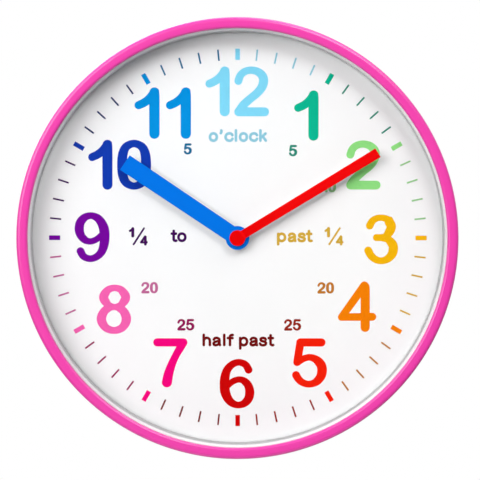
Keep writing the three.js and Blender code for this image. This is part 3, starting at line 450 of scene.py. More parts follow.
@contextlib.contextmanager
def editing(piece, test=None):
    """Edit mode with the whole piece selected, or only the points that pass a test."""
    select_only(piece)
    if test:
        for part in (piece.data.edges, piece.data.polygons):
            for item in part:
                item.select = False
        for vertex in piece.data.vertices:
            vertex.select = test(vertex.co)
    bpy.ops.object.mode_set(mode="EDIT")
    bpy.ops.mesh.select_mode(type="VERT")
    if not test:
        bpy.ops.mesh.select_all(action="SELECT")
    yield
    bpy.ops.object.mode_set(mode="OBJECT")


def cleaned(piece):
    """Welds loose corners and turns all faces outwards."""
    with editing(piece):
        bpy.ops.mesh.remove_doubles(threshold=WELD)
        bpy.ops.mesh.normals_make_consistent(inside=False)
    return piece


def point_at(radius, bearing, forward):
    """A point at a clockwise bearing from twelve, as seen from the front."""
    angle = math.radians(bearing)
    return AXIS + Vector((radius * math.sin(angle), -forward, radius * math.cos(angle)))


def either_side(middle, half):
    """The two ends of a length about its middle."""
    return middle - half, middle + half


def drum(name, radius, rear, front, centre=AXIS, steps=HUB_STEPS):
    """A round solid along Y."""
    bpy.ops.mesh.primitive_cylinder_add(
        vertices=steps, radius=radius, depth=front - rear,
        location=(centre.x, -(rear + front) / 2, centre.z), rotation=(math.pi / 2, 0, 0),
    )
    return primitive(name)


def block(name, sides, depths, heights):
    """A rectangular solid from its left and right, rear and front, and bottom and top."""
    bpy.ops.mesh.primitive_cube_add(
        size=1,
        location=(sum(sides) / 2, -sum(depths) / 2, sum(heights) / 2),
        scale=(sides[1] - sides[0], depths[1] - depths[0], heights[1] - heights[0]),
    )
    return primitive(name)


def rounded_block(name, sides, depths, heights, corner):
    """A block whose four edges along Y are rounded."""
    piece = block(name, sides, depths, heights)
    with editing(piece):
        bpy.ops.mesh.select_mode(type="EDGE")
        bpy.ops.mesh.select_all(action="DESELECT")
    for edge in piece.data.edges:
        start, end = (piece.data.vertices[i].co for i in edge.vertices)
        edge.select = abs(start.y - end.y) > WELD
    bpy.ops.object.mode_set(mode="EDIT")
    bpy.ops.mesh.bevel(affect="EDGES", offset=corner, segments=FILLET_STEPS)
    bpy.ops.object.mode_set(mode="OBJECT")
    return cleaned(piece)


def section_of(name, corners):
    """A closed flat section with rounded corners, from (place, fillet)."""
    bpy.ops.mesh.primitive_circle_add(vertices=len(corners), radius=CASE_RADIUS)
    section = primitive(name)
    for vertex, (place, _) in zip(section.data.vertices, corners):
        vertex.co = place
    for place, fillet in corners:
        if fillet:
            with editing(section, lambda co: (co - place).length < WELD / 2):
                bpy.ops.mesh.bevel(affect="VERTICES", offset=fillet, segments=FILLET_STEPS)
    return section


def bar(name, section, low, high):
    """A straight bar along Z from a closed section of (across, forward, fillet)."""
    piece = section_of(name, [
        (Vector((across, -forward, AXIS.z + low)), fillet) for across, forward, fillet in section])
    with editing(piece):
        bpy.ops.mesh.edge_face_add()
        bpy.ops.mesh.extrude_region_move(TRANSFORM_OT_translate={"value": (0, 0, high - low)})
    return cleaned(piece)


def spun_ring(name, section, steps=RING_STEPS, degrees=360, first=0):
    """A ring turned about the hands' axis from a closed section of (radius, forward, fillet)."""
    ring = section_of(name, [
        (point_at(radius, first, forward), fillet) for radius, forward, fillet in section])
    with editing(ring):
        if degrees < 360:
            bpy.ops.mesh.edge_face_add()
        bpy.ops.mesh.spin(steps=steps, angle=math.radians(-degrees), center=AXIS, axis=(0, 1, 0))
    return cleaned(ring)


def turned(piece, degrees, centre=AXIS):
    """Turns a piece clockwise about a line along Y, as seen from the front."""
    turn = Matrix.Rotation(math.radians(degrees), 4, "Y")
    piece.data.transform(Matrix.Translation(centre) @ turn @ Matrix.Translation(-centre))
    return piece


def named(piece, name):
    piece.name = name
    piece.data.name = name
    return piece


def copied(piece, name):
    """A copy with a mesh of its own."""
    select_only(piece)
    bpy.ops.object.duplicate(linked=False)
    return named(bpy.context.active_object, name)


def turned_copies(piece, angles):
    """Copies of a piece, each turned about the hands' axis."""
    return [turned(copied(piece, piece.name), angle) for angle in angles]


def joined(pieces, name):
    """Makes several pieces one object."""
    select_only(*pieces)
    if len(pieces) > 1:
        bpy.ops.object.join()
    return named(bpy.context.active_object, name)


def refined(node, name, edge):
    """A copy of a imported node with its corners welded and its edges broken."""
    piece = copied(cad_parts[node], name)
    for key in list(piece.keys()):
        del piece[key]
    with editing(piece):
        bpy.ops.mesh.remove_doubles(threshold=WELD)
        bpy.ops.mesh.dissolve_limited(angle_limit=math.radians(FLAT_WITHIN))
    edges_broken(piece, edge)
    return weighted(piece)


def fitted(piece, body, finish, slot, *nodes):
    """Gives a finished piece its material, the body it moves with and the nodes it stands for."""
    piece.data.materials.clear()
    piece.data.materials.append(finish)
    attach(piece, body)
    if nodes:
        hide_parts(*nodes)
    return piece


# Materials


class Wire:
    """A value from a node. Arithmetic on it adds Math nodes."""

    def __init__(self, board, socket):
        self.board = board
        self.socket = socket

    def maths(self, operation, first, second):
        return self.board.node("Math", {"operation": operation}, {0: first, 1: second})

    def __add__(self, other):
        return self.maths("ADD", self, other)

    def __mul__(self, other):
        return self.maths("MULTIPLY", self, other)

    def between(self, low, high):
        """One from low to high, and nothing elsewhere."""
        above = self.maths("GREATER_THAN", self, low)
        return above * self.maths("LESS_THAN", self, high)

    __radd__ = __add__
    __rmul__ = __mul__


# Sockets of the Mix node for colours
COLOUR_A = 6
COLOUR_B = 7
COLOUR_RESULT = 2


class Board:
    """A node tree while it is being wired."""

    def __init__(self, owner):
        owner.use_nodes = True
        self.tree = owner.node_tree
        self.tree.nodes.clear()

    def feed(self, socket, value):
        if isinstance(value, Wire):
            self.tree.links.new(value.socket, socket)
        else:
            socket.default_value = value

    def node(self, kind, settings=None, sockets=None, output=0):
        """Adds a node: its settings come first, then the values or links of its sockets."""
        made = self.tree.nodes.new("ShaderNode" + kind)
        for key, value in (settings or {}).items():
            setattr(made, key, value)
        for key, value in (sockets or {}).items():
            self.feed(made.inputs[key], value)
        return Wire(self, made.outputs[output]) if made.outputs else made

    def mixed(self, factor, first, second):
        """A shader between two others."""
        return self.node("MixShader", {}, {0: factor, 1: first, 2: second})


class Finish(Board):
    """A material while it is being made."""

    def __init__(self, name):
        self.material = bpy.data.materials.new(name)
        super().__init__(self.material)
        self.place = self.node("TexCoord", output="Object")

    def along(self, axis):
        """The place along X, Y or Z."""
        return self.node("SeparateXYZ", {}, {0: self.place}, output=axis)

    def noise(self, scale, detail=3, roughness=0.5, place=None):
        return self.node(
            "TexNoise", {}, {
                "Vector": place or self.place, "Scale": scale, "Detail": detail, "Roughness": roughness})

    def spread(self, value, low, high):
        """Brings a noise, which stays near one half, to the range from low to high."""
        return self.rise(value, 0.3, 0.7, low, high)

    def rise(self, value, start, end, low, high):
        """Goes from low to high while the value goes from start to end."""
        return self.node("MapRange", {"clamp": True}, {
            "Value": value, "From Min": start, "From Max": end, "To Min": low, "To Max": high})

    def shade(self, factor, first, second):
        """A colour between two others."""
        return self.node(
            "Mix", {"data_type": "RGBA"}, {"Factor": factor, COLOUR_A: first, COLOUR_B: second},
            COLOUR_RESULT)

    def clouded(self, noise, first, second):
        """A colour that drifts between two others with a noise."""
        return self.shade(self.spread(noise, 0, 1), first, second)

    def drift(self, noise, colour, low, high):
        """One colour that a noise makes darker and lighter."""
        return self.clouded(noise, tinted(colour, low), tinted(colour, high))

    def bump(self, height, distance):
        """Relief of this many millimetres."""
        return self.node("Bump", {}, {"Height": height, "Distance": distance * MM})

    def finished(self, **sockets):
        names = {key.replace("_", " "): value for key, value in sockets.items()}
        surface = self.node("BsdfPrincipled", {}, names)
        self.node("OutputMaterial", {}, {"Surface": surface})
        return self.material


def linear(red, green, blue):
    """A colour as seen on a screen, in Blender's linear values."""
    def channel(value):
        share = value / 255
        return share / 12.92 if share <= 0.04045 else ((share + 0.055) / 1.055) ** 2.4
    return channel(red), channel(green), channel(blue), 1


def tinted(colour, factor):
    """The same colour, darker or lighter."""
    return tuple(min(1, value * factor) for value in colour[:3]) + (1,)


def satin_plastic(name, colour, roughness=0.32, grain=0.004, shine=0.35, cloud=0.03, bare=None):
    """Moulded plastic: a fine orange peel, a little flow in the colour and finer wear in the gloss.

    Where bare is given, the piece is grey from there back and only its front has the colour.
    """
    finish = Finish(name)
    flow = finish.noise(30, 1)
    peel = finish.noise(1400, 2)
    rubbed = finish.noise(80, 1)
    tone = finish.drift(flow, colour, 1 - cloud, 1 + cloud)
    if bare is not None:
        back = finish.along("Y").between(-bare - HAND_EDGE / 4, 0)
        tone = finish.shade(back, tone, linear(*HAND_BACK_GREY))
    wear = 1.5 * cloud
    return finish.finished(
        Base_Color=tone, Roughness=finish.spread(rubbed, roughness - wear, roughness + wear),
        Normal=finish.bump(peel, grain), Specular_IOR_Level=shine)


def textured_plastic(name, colour, roughness=0.55, grain=0.012, cloud=0.08):
    """Plastic from a spark-eroded mould: an even fine grain."""
    finish = Finish(name)
    pits = finish.node(
        "TexVoronoi", {"feature": "SMOOTH_F1"},
        {"Vector": finish.place, "Scale": 2600, "Smoothness": 0.6})
    flow = finish.noise(30, 2)
    rubbed = finish.noise(120, 2)
    return finish.finished(
        Base_Color=finish.drift(flow, colour, 1 - cloud, 1 + cloud),
        Roughness=finish.spread(rubbed, roughness - 0.07, roughness + 0.08),
        Normal=finish.bump(pits, grain))


def spacer_plastic():
    """The spacer ring: a wall round the hands painted grey as shade, and a white lip under the lens."""
    finish = Finish("white lip over a wall of painted shade")
    lip_foot = SPACER_LIP_HEIGHT - SPACER_FRONT
    lip = finish.rise(finish.along("Y"), lip_foot, lip_foot - SPACER_LIP_HEIGHT / 2, 0, 1)
    cloud = finish.noise(60, 4, 0.6)
    pits = finish.noise(1800, 3, 0.6)
    # Painted shade: the wall's white plastic is painted grey for the shade deep in the well round the dial.
    wall = finish.clouded(cloud, linear(166, 166, 168), linear(176, 176, 177))
    white = finish.clouded(cloud, linear(240, 240, 241), linear(246, 246, 246))
    return finish.finished(
        Base_Color=finish.shade(lip, wall, white), Roughness=finish.spread(pits, 0.42, 0.54),
        Normal=finish.bump(pits, 0.004))


def dial_card():
    """A matt white sheet with the faint tooth of its coating."""
    finish = Finish("printed white dial")
    fibre = finish.noise(900, 5, 0.6)
    cloud = finish.noise(24)
    return finish.finished(
        Base_Color=finish.clouded(cloud, linear(250, 250, 250), linear(252, 252, 252)),
        Roughness=finish.spread(fibre, 0.5, 0.62), Normal=finish.bump(fibre, 0.003),
        Specular_IOR_Level=0.3)


def ink(name, colour):
    """Screen-printed ink: a thin, even film with the fine print of the mesh."""
    finish = Finish(name)
    film = finish.noise(700, 3, 0.6)
    mesh = finish.noise(3000, 2)
    return finish.finished(
        Base_Color=finish.drift(film, colour, 0.88, 0.95), Roughness=finish.spread(film, 0.3, 0.4),
        Normal=finish.bump(mesh, 0.002), Specular_IOR_Level=0.05)


def fine_print(colour):
    """Fine print in the same ink looks duller and darker, the dark inks most."""
    grey = sum(share * value for share, value in zip(EYE_SHARES, colour))
    depth = FINE_DEPTH + (1 - FINE_DEPTH) * grey / FINE_FULL_GREY
    return [depth * (value + (grey - value) * FINE_DULLNESS) for value in colour]


def clear_lens():
    """Clear acrylic: straight through, with its own gloss and the haze of a wiped surface."""
    finish = Finish("clear acrylic lens")
    gloss = finish.node("Fresnel", {}, {"IOR": 1.49})
    wiped = finish.noise(90, 4, 0.6)
    through = finish.node("BsdfTransparent", {}, {"Color": (0.99, 0.992, 0.992, 1)})
    reflection = finish.node(
        "BsdfGlossy", {},
        {"Color": (0.9, 0.9, 0.9, 1), "Roughness": finish.spread(wiped, 0.04, 0.07)})
    surface = finish.mixed(gloss * LENS_GLOSS, through, reflection)
    finish.node("OutputMaterial", {}, {"Surface": surface})
    return finish.material


def metal(name, colour, roughness=0.3, brush=(1, 1, 1), grain=0.004):
    """Bare or plated metal with fine drawing lines along one direction."""
    finish = Finish(name)
    stretched = finish.node("Mapping", {}, {"Vector": finish.place, "Scale": brush})
    lines = finish.noise(900, 4, 0.6, stretched)
    stain = finish.noise(70, 4, 0.6)
    return finish.finished(
        Base_Color=finish.drift(stain, colour, 0.86, 1.06), Metallic=1.0,
        Roughness=finish.spread(lines, roughness - 0.04, roughness + 0.08),
        Normal=finish.bump(lines, grain))


def battery_sleeve():
    """Shrunk foil: blue grey, with a silver band and a thin line towards the button."""
    finish = Finish("shrunk battery sleeve")
    millimetres = finish.along("X") * (1 / MM)
    band = millimetres.between(*SLEEVE_BAND) + millimetres.between(*SLEEVE_LINE)
    crease = finish.noise(260, 3, 0.6)
    flow = finish.noise(60, 2)
    foil = finish.clouded(flow, linear(44, 58, 82), linear(50, 66, 92))
    silver = finish.clouded(flow, linear(168, 171, 176), linear(184, 187, 191))
    return finish.finished(
        Base_Color=finish.shade(band, foil, silver), Roughness=finish.spread(crease, 0.3, 0.36),
        Normal=finish.bump(crease, 0.01), Specular_IOR_Level=0.6)


PINK = satin_plastic("pink satin plastic", linear(227, 57, 161), 0.3, 0.002, 0.6, 0.006)
SPACER = spacer_plastic()
WHITE = textured_plastic("fine matt white plastic", linear(236, 236, 238), 0.5, 0.004, 0.015)
DIAL = dial_card()
LENS = clear_lens()
INKS = {hour: ink(f"ink of hour {hour}", linear(*shade)) for hour, shade in HOUR_INKS.items()}
FINE_INKS = {
    hour: ink(f"fine ink of hour {hour}", linear(*fine_print(shade)))
    for hour, shade in HOUR_INKS.items()
}
BLUE = satin_plastic(
    "blue satin hand", linear(0, 116, 228), 0.25, 0.002, 0.06, 0.01, HOUR_HAND_FRONT - HAND_THICKNESS)
RED = satin_plastic(
    "red satin hand", linear(232, 0, 2), 0.25, 0.002, 0.06, 0.01, MINUTE_HAND_FRONT - HAND_THICKNESS)
BLACK = textured_plastic("black spark-eroded plastic", linear(30, 31, 33))
GEAR = satin_plastic("natural acetal", linear(228, 226, 216), 0.4, 0.003)
BRASS = metal("rolled brass", linear(205, 164, 92), 0.33, (1, 8, 1))
STEEL = metal("plated steel", linear(196, 198, 202), 0.33, (1, 1, 9))
MAGNET = metal("sintered magnet", linear(96, 96, 100), 0.5)
LAMINATE = textured_plastic("green laminate", linear(26, 92, 58), 0.4, 0.003)
COPPER = metal("enamelled copper wire", linear(184, 92, 48), 0.34, (40, 1, 1), 0.02)
# Painted sheen: the black relief is painted a lighter grey than the lid, standing for the shine of its
# polish.
BLACK_RELIEF_PAINTED_SHEEN = satin_plastic("black relief with painted sheen", linear(84, 86, 90), 0.2, 0.002, 0.8)
SLEEVE = battery_sleeve()

# Case ring with its rounded bezel and snap catches

CASE_BORE = CASE_RADIUS - CASE_WALL
OPENING_RADIUS = CASE_RADIUS - BEZEL_WIDTH
SHOULDER = CASE_FRONT - BEZEL_CROWN
BEZEL_REAR = LENS_FRONT + BEZEL_SEAT
CREST_RADIUS = (CASE_RADIUS + OPENING_RADIUS + BEZEL_INNER_FILLET - BEZEL_OUTER_FILLET) / 2


def case_ring():
    shell = spun_ring("case_ring_shell", [
        (CASE_BORE, 0, SMALL_FILLET),
        (CASE_RADIUS - CASE_DRAFT, 0, 2 * SMALL_FILLET),
        (CASE_RADIUS, SHOULDER, BEZEL_OUTER_FILLET),
        (CREST_RADIUS, CASE_FRONT, BEZEL_WIDTH / 4),
        (OPENING_RADIUS, SHOULDER, BEZEL_INNER_FILLET),
        (OPENING_RADIUS, BEZEL_REAR, 0),
        (CASE_BORE, BEZEL_REAR, 0),
    ])
    tip = CASE_BORE - CATCH_REACH
    ledge = PLATE_FRONT - PLATE_THICKNESS - FIT_GAP
    root = CASE_BORE + CATCH_SINK
    span = math.degrees(CATCH_WIDTH / CASE_BORE)
    catch = spun_ring("case_catch", [
        (tip, ledge, 0),
        (tip, ledge - CATCH_LENGTH / 4, SMALL_FILLET),
        (root, ledge - CATCH_LENGTH, 0),
        (root, ledge, 0),
    ], steps=CATCH_STEPS, degrees=span, first=90 - span / 2)
    edges_broken(catch, EDGE)
    more = turned_copies(catch, [360 * i / CATCHES for i in range(1, CATCHES)])
    return weighted(joined([shell, catch, *more], "pink_case_ring"))


def spacer_ring():
    return weighted(spun_ring("white_spacer_ring", [
        (OPENING_RADIUS - SPACER_FLARE, SPACER_REAR, SMALL_FILLET),
        (SPACER_OUTER_RADIUS, SPACER_REAR, SMALL_FILLET),
        (SPACER_OUTER_RADIUS, SPACER_FRONT, SMALL_FILLET),
        (OPENING_RADIUS, SPACER_FRONT, 0),
        (OPENING_RADIUS - SPACER_FLARE, SPACER_FRONT - SPACER_LIP_HEIGHT, SMALL_FILLET),
    ]))


def lens():
    pane = drum("clear_lens", LENS_RADIUS, LENS_REAR, LENS_FRONT, steps=RING_STEPS)
    return weighted(edges_broken(pane, EDGE))


def dial():
    crease = OPENING_RADIUS - SPACER_FLARE
    return weighted(spun_ring("dial_sheet", [
        (DIAL_HOLE_RADIUS, DIAL_REAR, DIAL_FILLET / 2),
        (DIAL_RADIUS, DIAL_REAR, DIAL_FILLET / 2),
        (DIAL_RADIUS, DIAL_FRONT, DIAL_FILLET),
        (crease + DIAL_CREASE / 2, DIAL_FRONT, 0),
        (crease + DIAL_CREASE / 2, DIAL_FRONT - DIAL_CREASE_DEPTH, 0),
        (crease - DIAL_CREASE, DIAL_FRONT - DIAL_CREASE_DEPTH, 0),
        (crease - DIAL_CREASE, DIAL_FRONT, 0),
        (DIAL_HOLE_RADIUS, DIAL_FRONT, DIAL_FILLET),
    ]))


fitted(case_ring(), "case", PINK, "pink_plastic", "case_ring")
fitted(spacer_ring(), "case", SPACER, "white_plastic", "spacer_ring")
fitted(lens(), "case", LENS, "clear_plastic", "lens")
fitted(dial(), "case", DIAL, "dial_card", "dial")

# Hands


def blade(name, root_width, tip_width, length, front):
    """A straight blade that widens a little towards its square tip."""
    hand = block(
        name, either_side(0, root_width / 2), (front - HAND_THICKNESS, front),
        (AXIS.z, AXIS.z + length))
    with editing(hand, lambda co: co.z > AXIS.z + length / 2):
        bpy.ops.transform.resize(
            value=(tip_width / root_width, 1, 1), center_override=(0, 0, AXIS.z + length))
    return hand


def finished_hand(hand, bearing):
    edges_broken(hand, HAND_EDGE, 3)
    return turned(weighted(hand), bearing)


def hour_hand():
    """A flat hand on a collet that sits on the hour wheel's tube."""
    hand = blade("blue_hour_hand", HOUR_HAND_ROOT, HOUR_HAND_TIP, HOUR_HAND_LENGTH, HOUR_HAND_FRONT)
    hub = drum("hour_hub", HOUR_HUB_RADIUS, HOUR_HAND_FRONT - HAND_THICKNESS, HOUR_HAND_FRONT)
    collet = drum("hour_collet", HOUR_COLLET_RADIUS, HOUR_HAND_REAR, HOUR_HAND_FRONT - HAND_THICKNESS / 2)
    added_to(hand, hub, collet)
    cut_by(hand, drum("hour_bore", HOUR_BORE_RADIUS, HOUR_HAND_REAR - MM, HOUR_HAND_FRONT + MM))
    return finished_hand(hand, HOUR_HAND_BEARING)


def minute_hand():
    """A flat hand whose closed hub is pressed on the end of the minute arbor."""
    hand = blade(
        "red_minute_hand", MINUTE_HAND_ROOT, MINUTE_HAND_TIP, MINUTE_HAND_LENGTH, MINUTE_HAND_FRONT)
    added_to(hand, drum("minute_hub", MINUTE_HUB_RADIUS, MINUTE_HAND_REAR, MINUTE_HAND_FRONT))
    cut_by(hand, drum(
        "minute_socket", MINUTE_SOCKET_RADIUS, MINUTE_HAND_REAR - MM,
        MINUTE_HAND_REAR + MINUTE_SOCKET_DEPTH))
    return finished_hand(hand, MINUTE_HAND_BEARING)


fitted(hour_hand(), "hour_hand", BLUE, "blue_plastic", "hour_hand")
fitted(minute_hand(), "minute_hand", RED, "red_plastic", "minute_hand")

# Print on the dial

INK_REAR = DIAL_FRONT - INK_THICKNESS / 2
INK_FRONT = DIAL_FRONT + INK_THICKNESS


def smooth_run(points, is_ring):
    """Points along the smooth line through given (x, y, width) points."""
    count = len(points)
    if count == 2:
        return list(points)
    if is_ring:
        known = [points[-1], *points, points[0], points[1]]
        spans = count
    else:
        first = [2 * a - b for a, b in zip(points[0], points[1])]
        last = [2 * a - b for a, b in zip(points[-1], points[-2])]
        known = [first, *points, last]
        spans = count - 1
    line = []
    for i in range(spans):
        before, start, end, after = known[i:i + 4]
        for step in range(CURVE_STEPS):
            t = step / CURVE_STEPS
            line.append(tuple(
                0.5 * (2 * b + (c - a) * t + (2 * a - 5 * b + 4 * c - d) * t * t
                       + (3 * b - a - 3 * c + d) * t ** 3)
                for a, b, c, d in zip(before, start, end, after)))
    if not is_ring:
        line.append(points[-1])
    return line


def sides_of(line, is_ring):
    """The two sides of a stroke as lists of points."""
    left = []
    right = []
    count = len(line)
    for i, (x, y, width) in enumerate(line):
        before = line[i - 1] if is_ring or i else line[i]
        after = line[(i + 1) % count] if is_ring or i < count - 1 else line[i]
        along = Vector((after[0] - before[0], after[1] - before[1])).normalized()
        across = Vector((-along.y, along.x)) * width / 2
        left.append(Vector((x, y)) + across)
        right.append(Vector((x, y)) - across)
    return left, right


def cap(centre, start, half_turn):
    """The round end of a stroke, from one of its sides to the other."""
    middle = Vector(centre[:2])
    spoke = start - middle
    angles = [half_turn * i / CAP_STEPS for i in range(1, CAP_STEPS)]
    return [
        middle + Vector((
            spoke.x * math.cos(angle) - spoke.y * math.sin(angle),
            spoke.x * math.sin(angle) + spoke.y * math.cos(angle)))
        for angle in angles
    ]


def unfolded(side, line):
    """Leaves out the points of a side that a tight bend folds back into the stroke."""
    return [
        point for point in side
        if all((point - Vector((x, y))).length > FOLD_SHARE * width / 2 for x, y, width in line)
    ]


def outlines_of(line, is_ring):
    left, right = sides_of(line, is_ring)
    left = unfolded(left, line)
    right = unfolded(right, line)
    if is_ring:
        return [left, right]
    far = cap(line[-1], left[-1], -math.pi)
    near = cap(line[0], right[0], -math.pi)
    return [left + far + right[::-1] + near]


def runs_of(stroke):
    """Splits a stroke at its corners. Each run comes with whether it is a ring."""
    runs = [[]]
    is_ring = False
    for item in stroke:
        if item == "closed":
            is_ring = True
        elif item == "corner":
            runs.append([runs[-1][-1]])
        else:
            runs[-1].append(item)
    return [(run, is_ring) for run in runs]


def stroke_slab(name, outlines):
    """A slab inside flat outlines, in shares of the figure's height."""
    curve = bpy.data.curves.new(name, "CURVE")
    curve.dimensions = "2D"
    curve.fill_mode = "BOTH"
    curve.extrude = 0.5
    for outline in outlines:
        spline = curve.splines.new("POLY")
        spline.points.add(len(outline) - 1)
        for point, place in zip(spline.points, outline):
            point.co = (place.x, place.y, 0, 1)
        spline.use_cyclic_u = True
    slab = bpy.data.objects.new(name, curve)
    bpy.context.scene.collection.objects.link(slab)
    select_only(slab)
    bpy.ops.object.convert(target="MESH")
    return cleaned(bpy.context.active_object)


def film_of(name, strokes, left, low, size):
    """Welds strokes into one thin film of ink on the dial, at a place and height in millimetres."""
    slabs = []
    for stroke in strokes:
        for run, is_ring in runs_of(stroke):
            line = smooth_run(run, is_ring)
            lines = [line]
            if len(run) > LONG_RUN and not is_ring:
                half = len(line) // 2
                lines = [line[:half + 1], line[half:]]
            slabs += [stroke_slab(name, outlines_of(part, is_ring)) for part in lines]
    film = added_to(*slabs)
    film.data.transform(Matrix.Diagonal((size * MM, size * MM, INK_FRONT - INK_REAR, 1)))
    film.data.transform(Matrix.Rotation(math.pi / 2, 4, "X"))
    place = Vector((left * MM, -(INK_REAR + INK_FRONT) / 2, low * MM))
    film.data.transform(Matrix.Translation(AXIS + place))
    return film


def each_point(strokes, change):
    """The same strokes with every point changed."""
    return [
        [item if isinstance(item, str) else change(*item) for item in stroke] for stroke in strokes]


def figure(name, digit, left, low, size, weight=1.0):
    """One figure. A nine is a six turned half round."""
    strokes = each_point(
        FIGURES["6" if digit == "9" else digit],
        lambda x, y, width: (x / 1000, y / 1000, width / 1000 * weight))
    if digit == "9":
        strokes = each_point(
            strokes, lambda x, y, width: (FIGURE_WIDTH_SHARES["9"] - x, 1 - y, width))
    return film_of(name, strokes, left, low, size)


def number(name, digits, left, low, size, gap=FIGURE_GAP_SHARE, weight=1.0):
    figures = []
    for digit in digits:
        figures.append(figure(name, digit, left, low, size, weight))
        left += (FIGURE_WIDTH_SHARES[digit] + gap) * size
    return joined(figures, name)


def word(name, letters, low, starts):
    pieces = []
    for letter, left in zip(letters, starts):
        strokes = each_point(
            LETTERS[letter], lambda x, y: (x / 1000, y / 1000, LETTER_STROKE_SHARE))
        pieces.append(film_of(name, strokes, left, low, WORD_HEIGHT))
    return joined(pieces, name)


def quarter(name, left, low, size):
    """One over four with its slanting bar."""
    small = size * QUARTER_FIGURE_SHARE
    upper = figure(name, "1", left, low + size - small, small, QUARTER_WEIGHT)
    lower = figure(name, "4", left + size * QUARTER_FOUR_SHARE, low, small, QUARTER_WEIGHT)
    bar = [(x, y, SLASH_STROKE_SHARE) for x, y in SLASH_SHARES]
    slash = film_of(name, [bar], left, low, size)
    return joined([upper, lower, slash], name)


def mark(name, bearing, width):
    """One square-ended mark of the minute track."""
    line = block(
        name, either_side(0, width / 2), (INK_REAR, INK_FRONT),
        (MARK_CENTRE.z + MARK_INNER_RADIUS, MARK_CENTRE.z + MARK_OUTER_RADIUS))
    edges_broken(line, INK_THICKNESS / 3, 1)
    return turned(line, bearing, MARK_CENTRE)


def printed(piece, finish):
    fitted(piece, "case", finish, "dial_card")


for hour, (left, low, size) in HOUR_FIGURES.items():
    gap = FIGURE_GAPS.get(hour, FIGURE_GAP_SHARE)
    numeral = number(f"numeral_{hour}", str(hour), left, low, size, gap, FIGURE_WEIGHT)
    printed(numeral, INKS[hour])
for place, (digits, hour, left, low, size) in MINUTE_FIGURES.items():
    figures = number(f"minutes_{place}", digits, left, low, size, weight=SMALL_WEIGHT)
    printed(figures, FINE_INKS[hour])
for place, (letters, hour, low, starts) in WORDS.items():
    printed(word(f"word_{place}", letters, low, starts), FINE_INKS[hour])
for place, (hour, left, low, size) in QUARTERS.items():
    printed(quarter(place, left, low, size), FINE_INKS[hour])
for hour in HOUR_INKS:
    bearing = hour * HOUR_STEP
    printed(mark(f"hour_mark_{hour}", bearing, HOUR_MARK_WIDTH), INKS[hour])
    marks = [
        mark("minute_mark", bearing + minute * MINUTE_STEP, MINUTE_MARK_WIDTH)
        for minute in range(1, HOUR_STEP // MINUTE_STEP)]
    printed(joined(marks, f"minute_marks_{hour}"), FINE_INKS[hour])

# Back plate and hanging box

PLATE_FACE = PLATE_FRONT - PLATE_THICKNESS
ROOT = PLATE_FRONT - PLATE_THICKNESS / 2


def ribbed(centre, height):
    """The section of a rib: a chamfered foot on the plate and a narrower, rounded edge."""
    side = [
        (FOOT_HALF, ROOT, 0),
        (FOOT_HALF, PLATE_FACE - FOOT_LIP, 0),
        (RIB_HALF, PLATE_FACE - FOOT_HEIGHT, EDGE),
        (RIB_TIP_HALF, PLATE_FACE - height, RIB_TIP_FILLET),
    ]
    lower = [(centre - half, forward, fillet) for half, forward, fillet in side]
    upper = [(centre + half, forward, fillet) for half, forward, fillet in reversed(side)]
    return lower + upper


def ribs():
    """Twelve straight ribs, and the hoop that crosses them and stops beside the hanging box."""
    long_rib = bar("plate_rib", ribbed(0, RIB_HEIGHT), RIB_INNER_RADIUS, RIB_OUTER_RADIUS)
    short_rib = bar("plate_short_rib", ribbed(0, RIB_HEIGHT), RIB_SHORT_RADIUS, RIB_OUTER_RADIUS)
    spacing = 360 / RIBS
    spokes = turned_copies(long_rib, [spacing * (i + 0.5) for i in range(1, RIBS - 1)])
    spokes += turned_copies(short_rib, [spacing / 2])
    turned(short_rib, -spacing / 2)
    bpy.data.objects.remove(long_rib)
    hoop = spun_ring(
        "plate_hoop", ribbed(HOOP_RADIUS, HOOP_HEIGHT), degrees=360 - 2 * HOOP_START, first=HOOP_START)
    return [short_rib, *spokes, hoop]


def movement_holders():
    """Rails above and below the movement, and the spring clips that hook over its ears."""
    rail = bar("movement_rail", [
        (RAIL_FOOT, ROOT, 0),
        (RAIL_FOOT, PLATE_FACE - RAIL_HEIGHT, RAIL_FILLET),
        (RAIL_FOOT + RAIL_THICKNESS, PLATE_FACE - RAIL_HEIGHT, RAIL_FILLET),
        (RAIL_FOOT + RAIL_THICKNESS, ROOT, 0),
    ], *either_side(0, RAIL_LENGTH / 2))
    hook = CLIP_REAR + CLIP_HOOK_HEIGHT
    clip = bar("movement_clip", [
        (CLIP_FOOT, ROOT, 0),
        (CLIP_FOOT, hook, 2 * CLIP_FILLET),
        (CLIP_FOOT - CLIP_HOOK, hook, CLIP_FILLET),
        (CLIP_FOOT - CLIP_HOOK, hook - CLIP_LIP, CLIP_FILLET),
        (CLIP_FOOT - CLIP_HOOK + CLIP_RAMP, CLIP_REAR, 3 * CLIP_FILLET),
        (CLIP_FOOT + CLIP_THICKNESS, CLIP_REAR, 6 * CLIP_FILLET),
        (CLIP_FOOT + CLIP_THICKNESS, ROOT, 0),
    ], *either_side(0, CLIP_WIDTH / 2))
    lower_rail = turned_copies(rail, [90])
    far_clip = turned_copies(clip, [180])
    return [turned(rail, -90), *lower_rail, clip, *far_clip]


def back_plate():
    disc = spun_ring("plate_disc", [
        (PLATE_HOLE_RADIUS, PLATE_FACE, PLATE_HOLE_FILLET),
        (CASE_BORE - FIT_GAP, PLATE_FACE, SMALL_FILLET),
        (CASE_BORE - FIT_GAP, PLATE_FRONT, SMALL_FILLET),
        (PLATE_HOLE_RADIUS, PLATE_FRONT, PLATE_HOLE_FILLET),
    ])
    for i in range(PIN_MARKS):
        place = point_at(PIN_MARK_PLACE, 360 * i / PIN_MARKS, 0)
        cut_by(disc, drum(
            "pin_mark", PIN_MARK_RADIUS, PLATE_FACE - MM, PLATE_FACE + PIN_MARK_DEPTH, place, HOLE_STEPS))
    return weighted(joined([disc, *ribs(), *movement_holders()], "white_back_plate"))


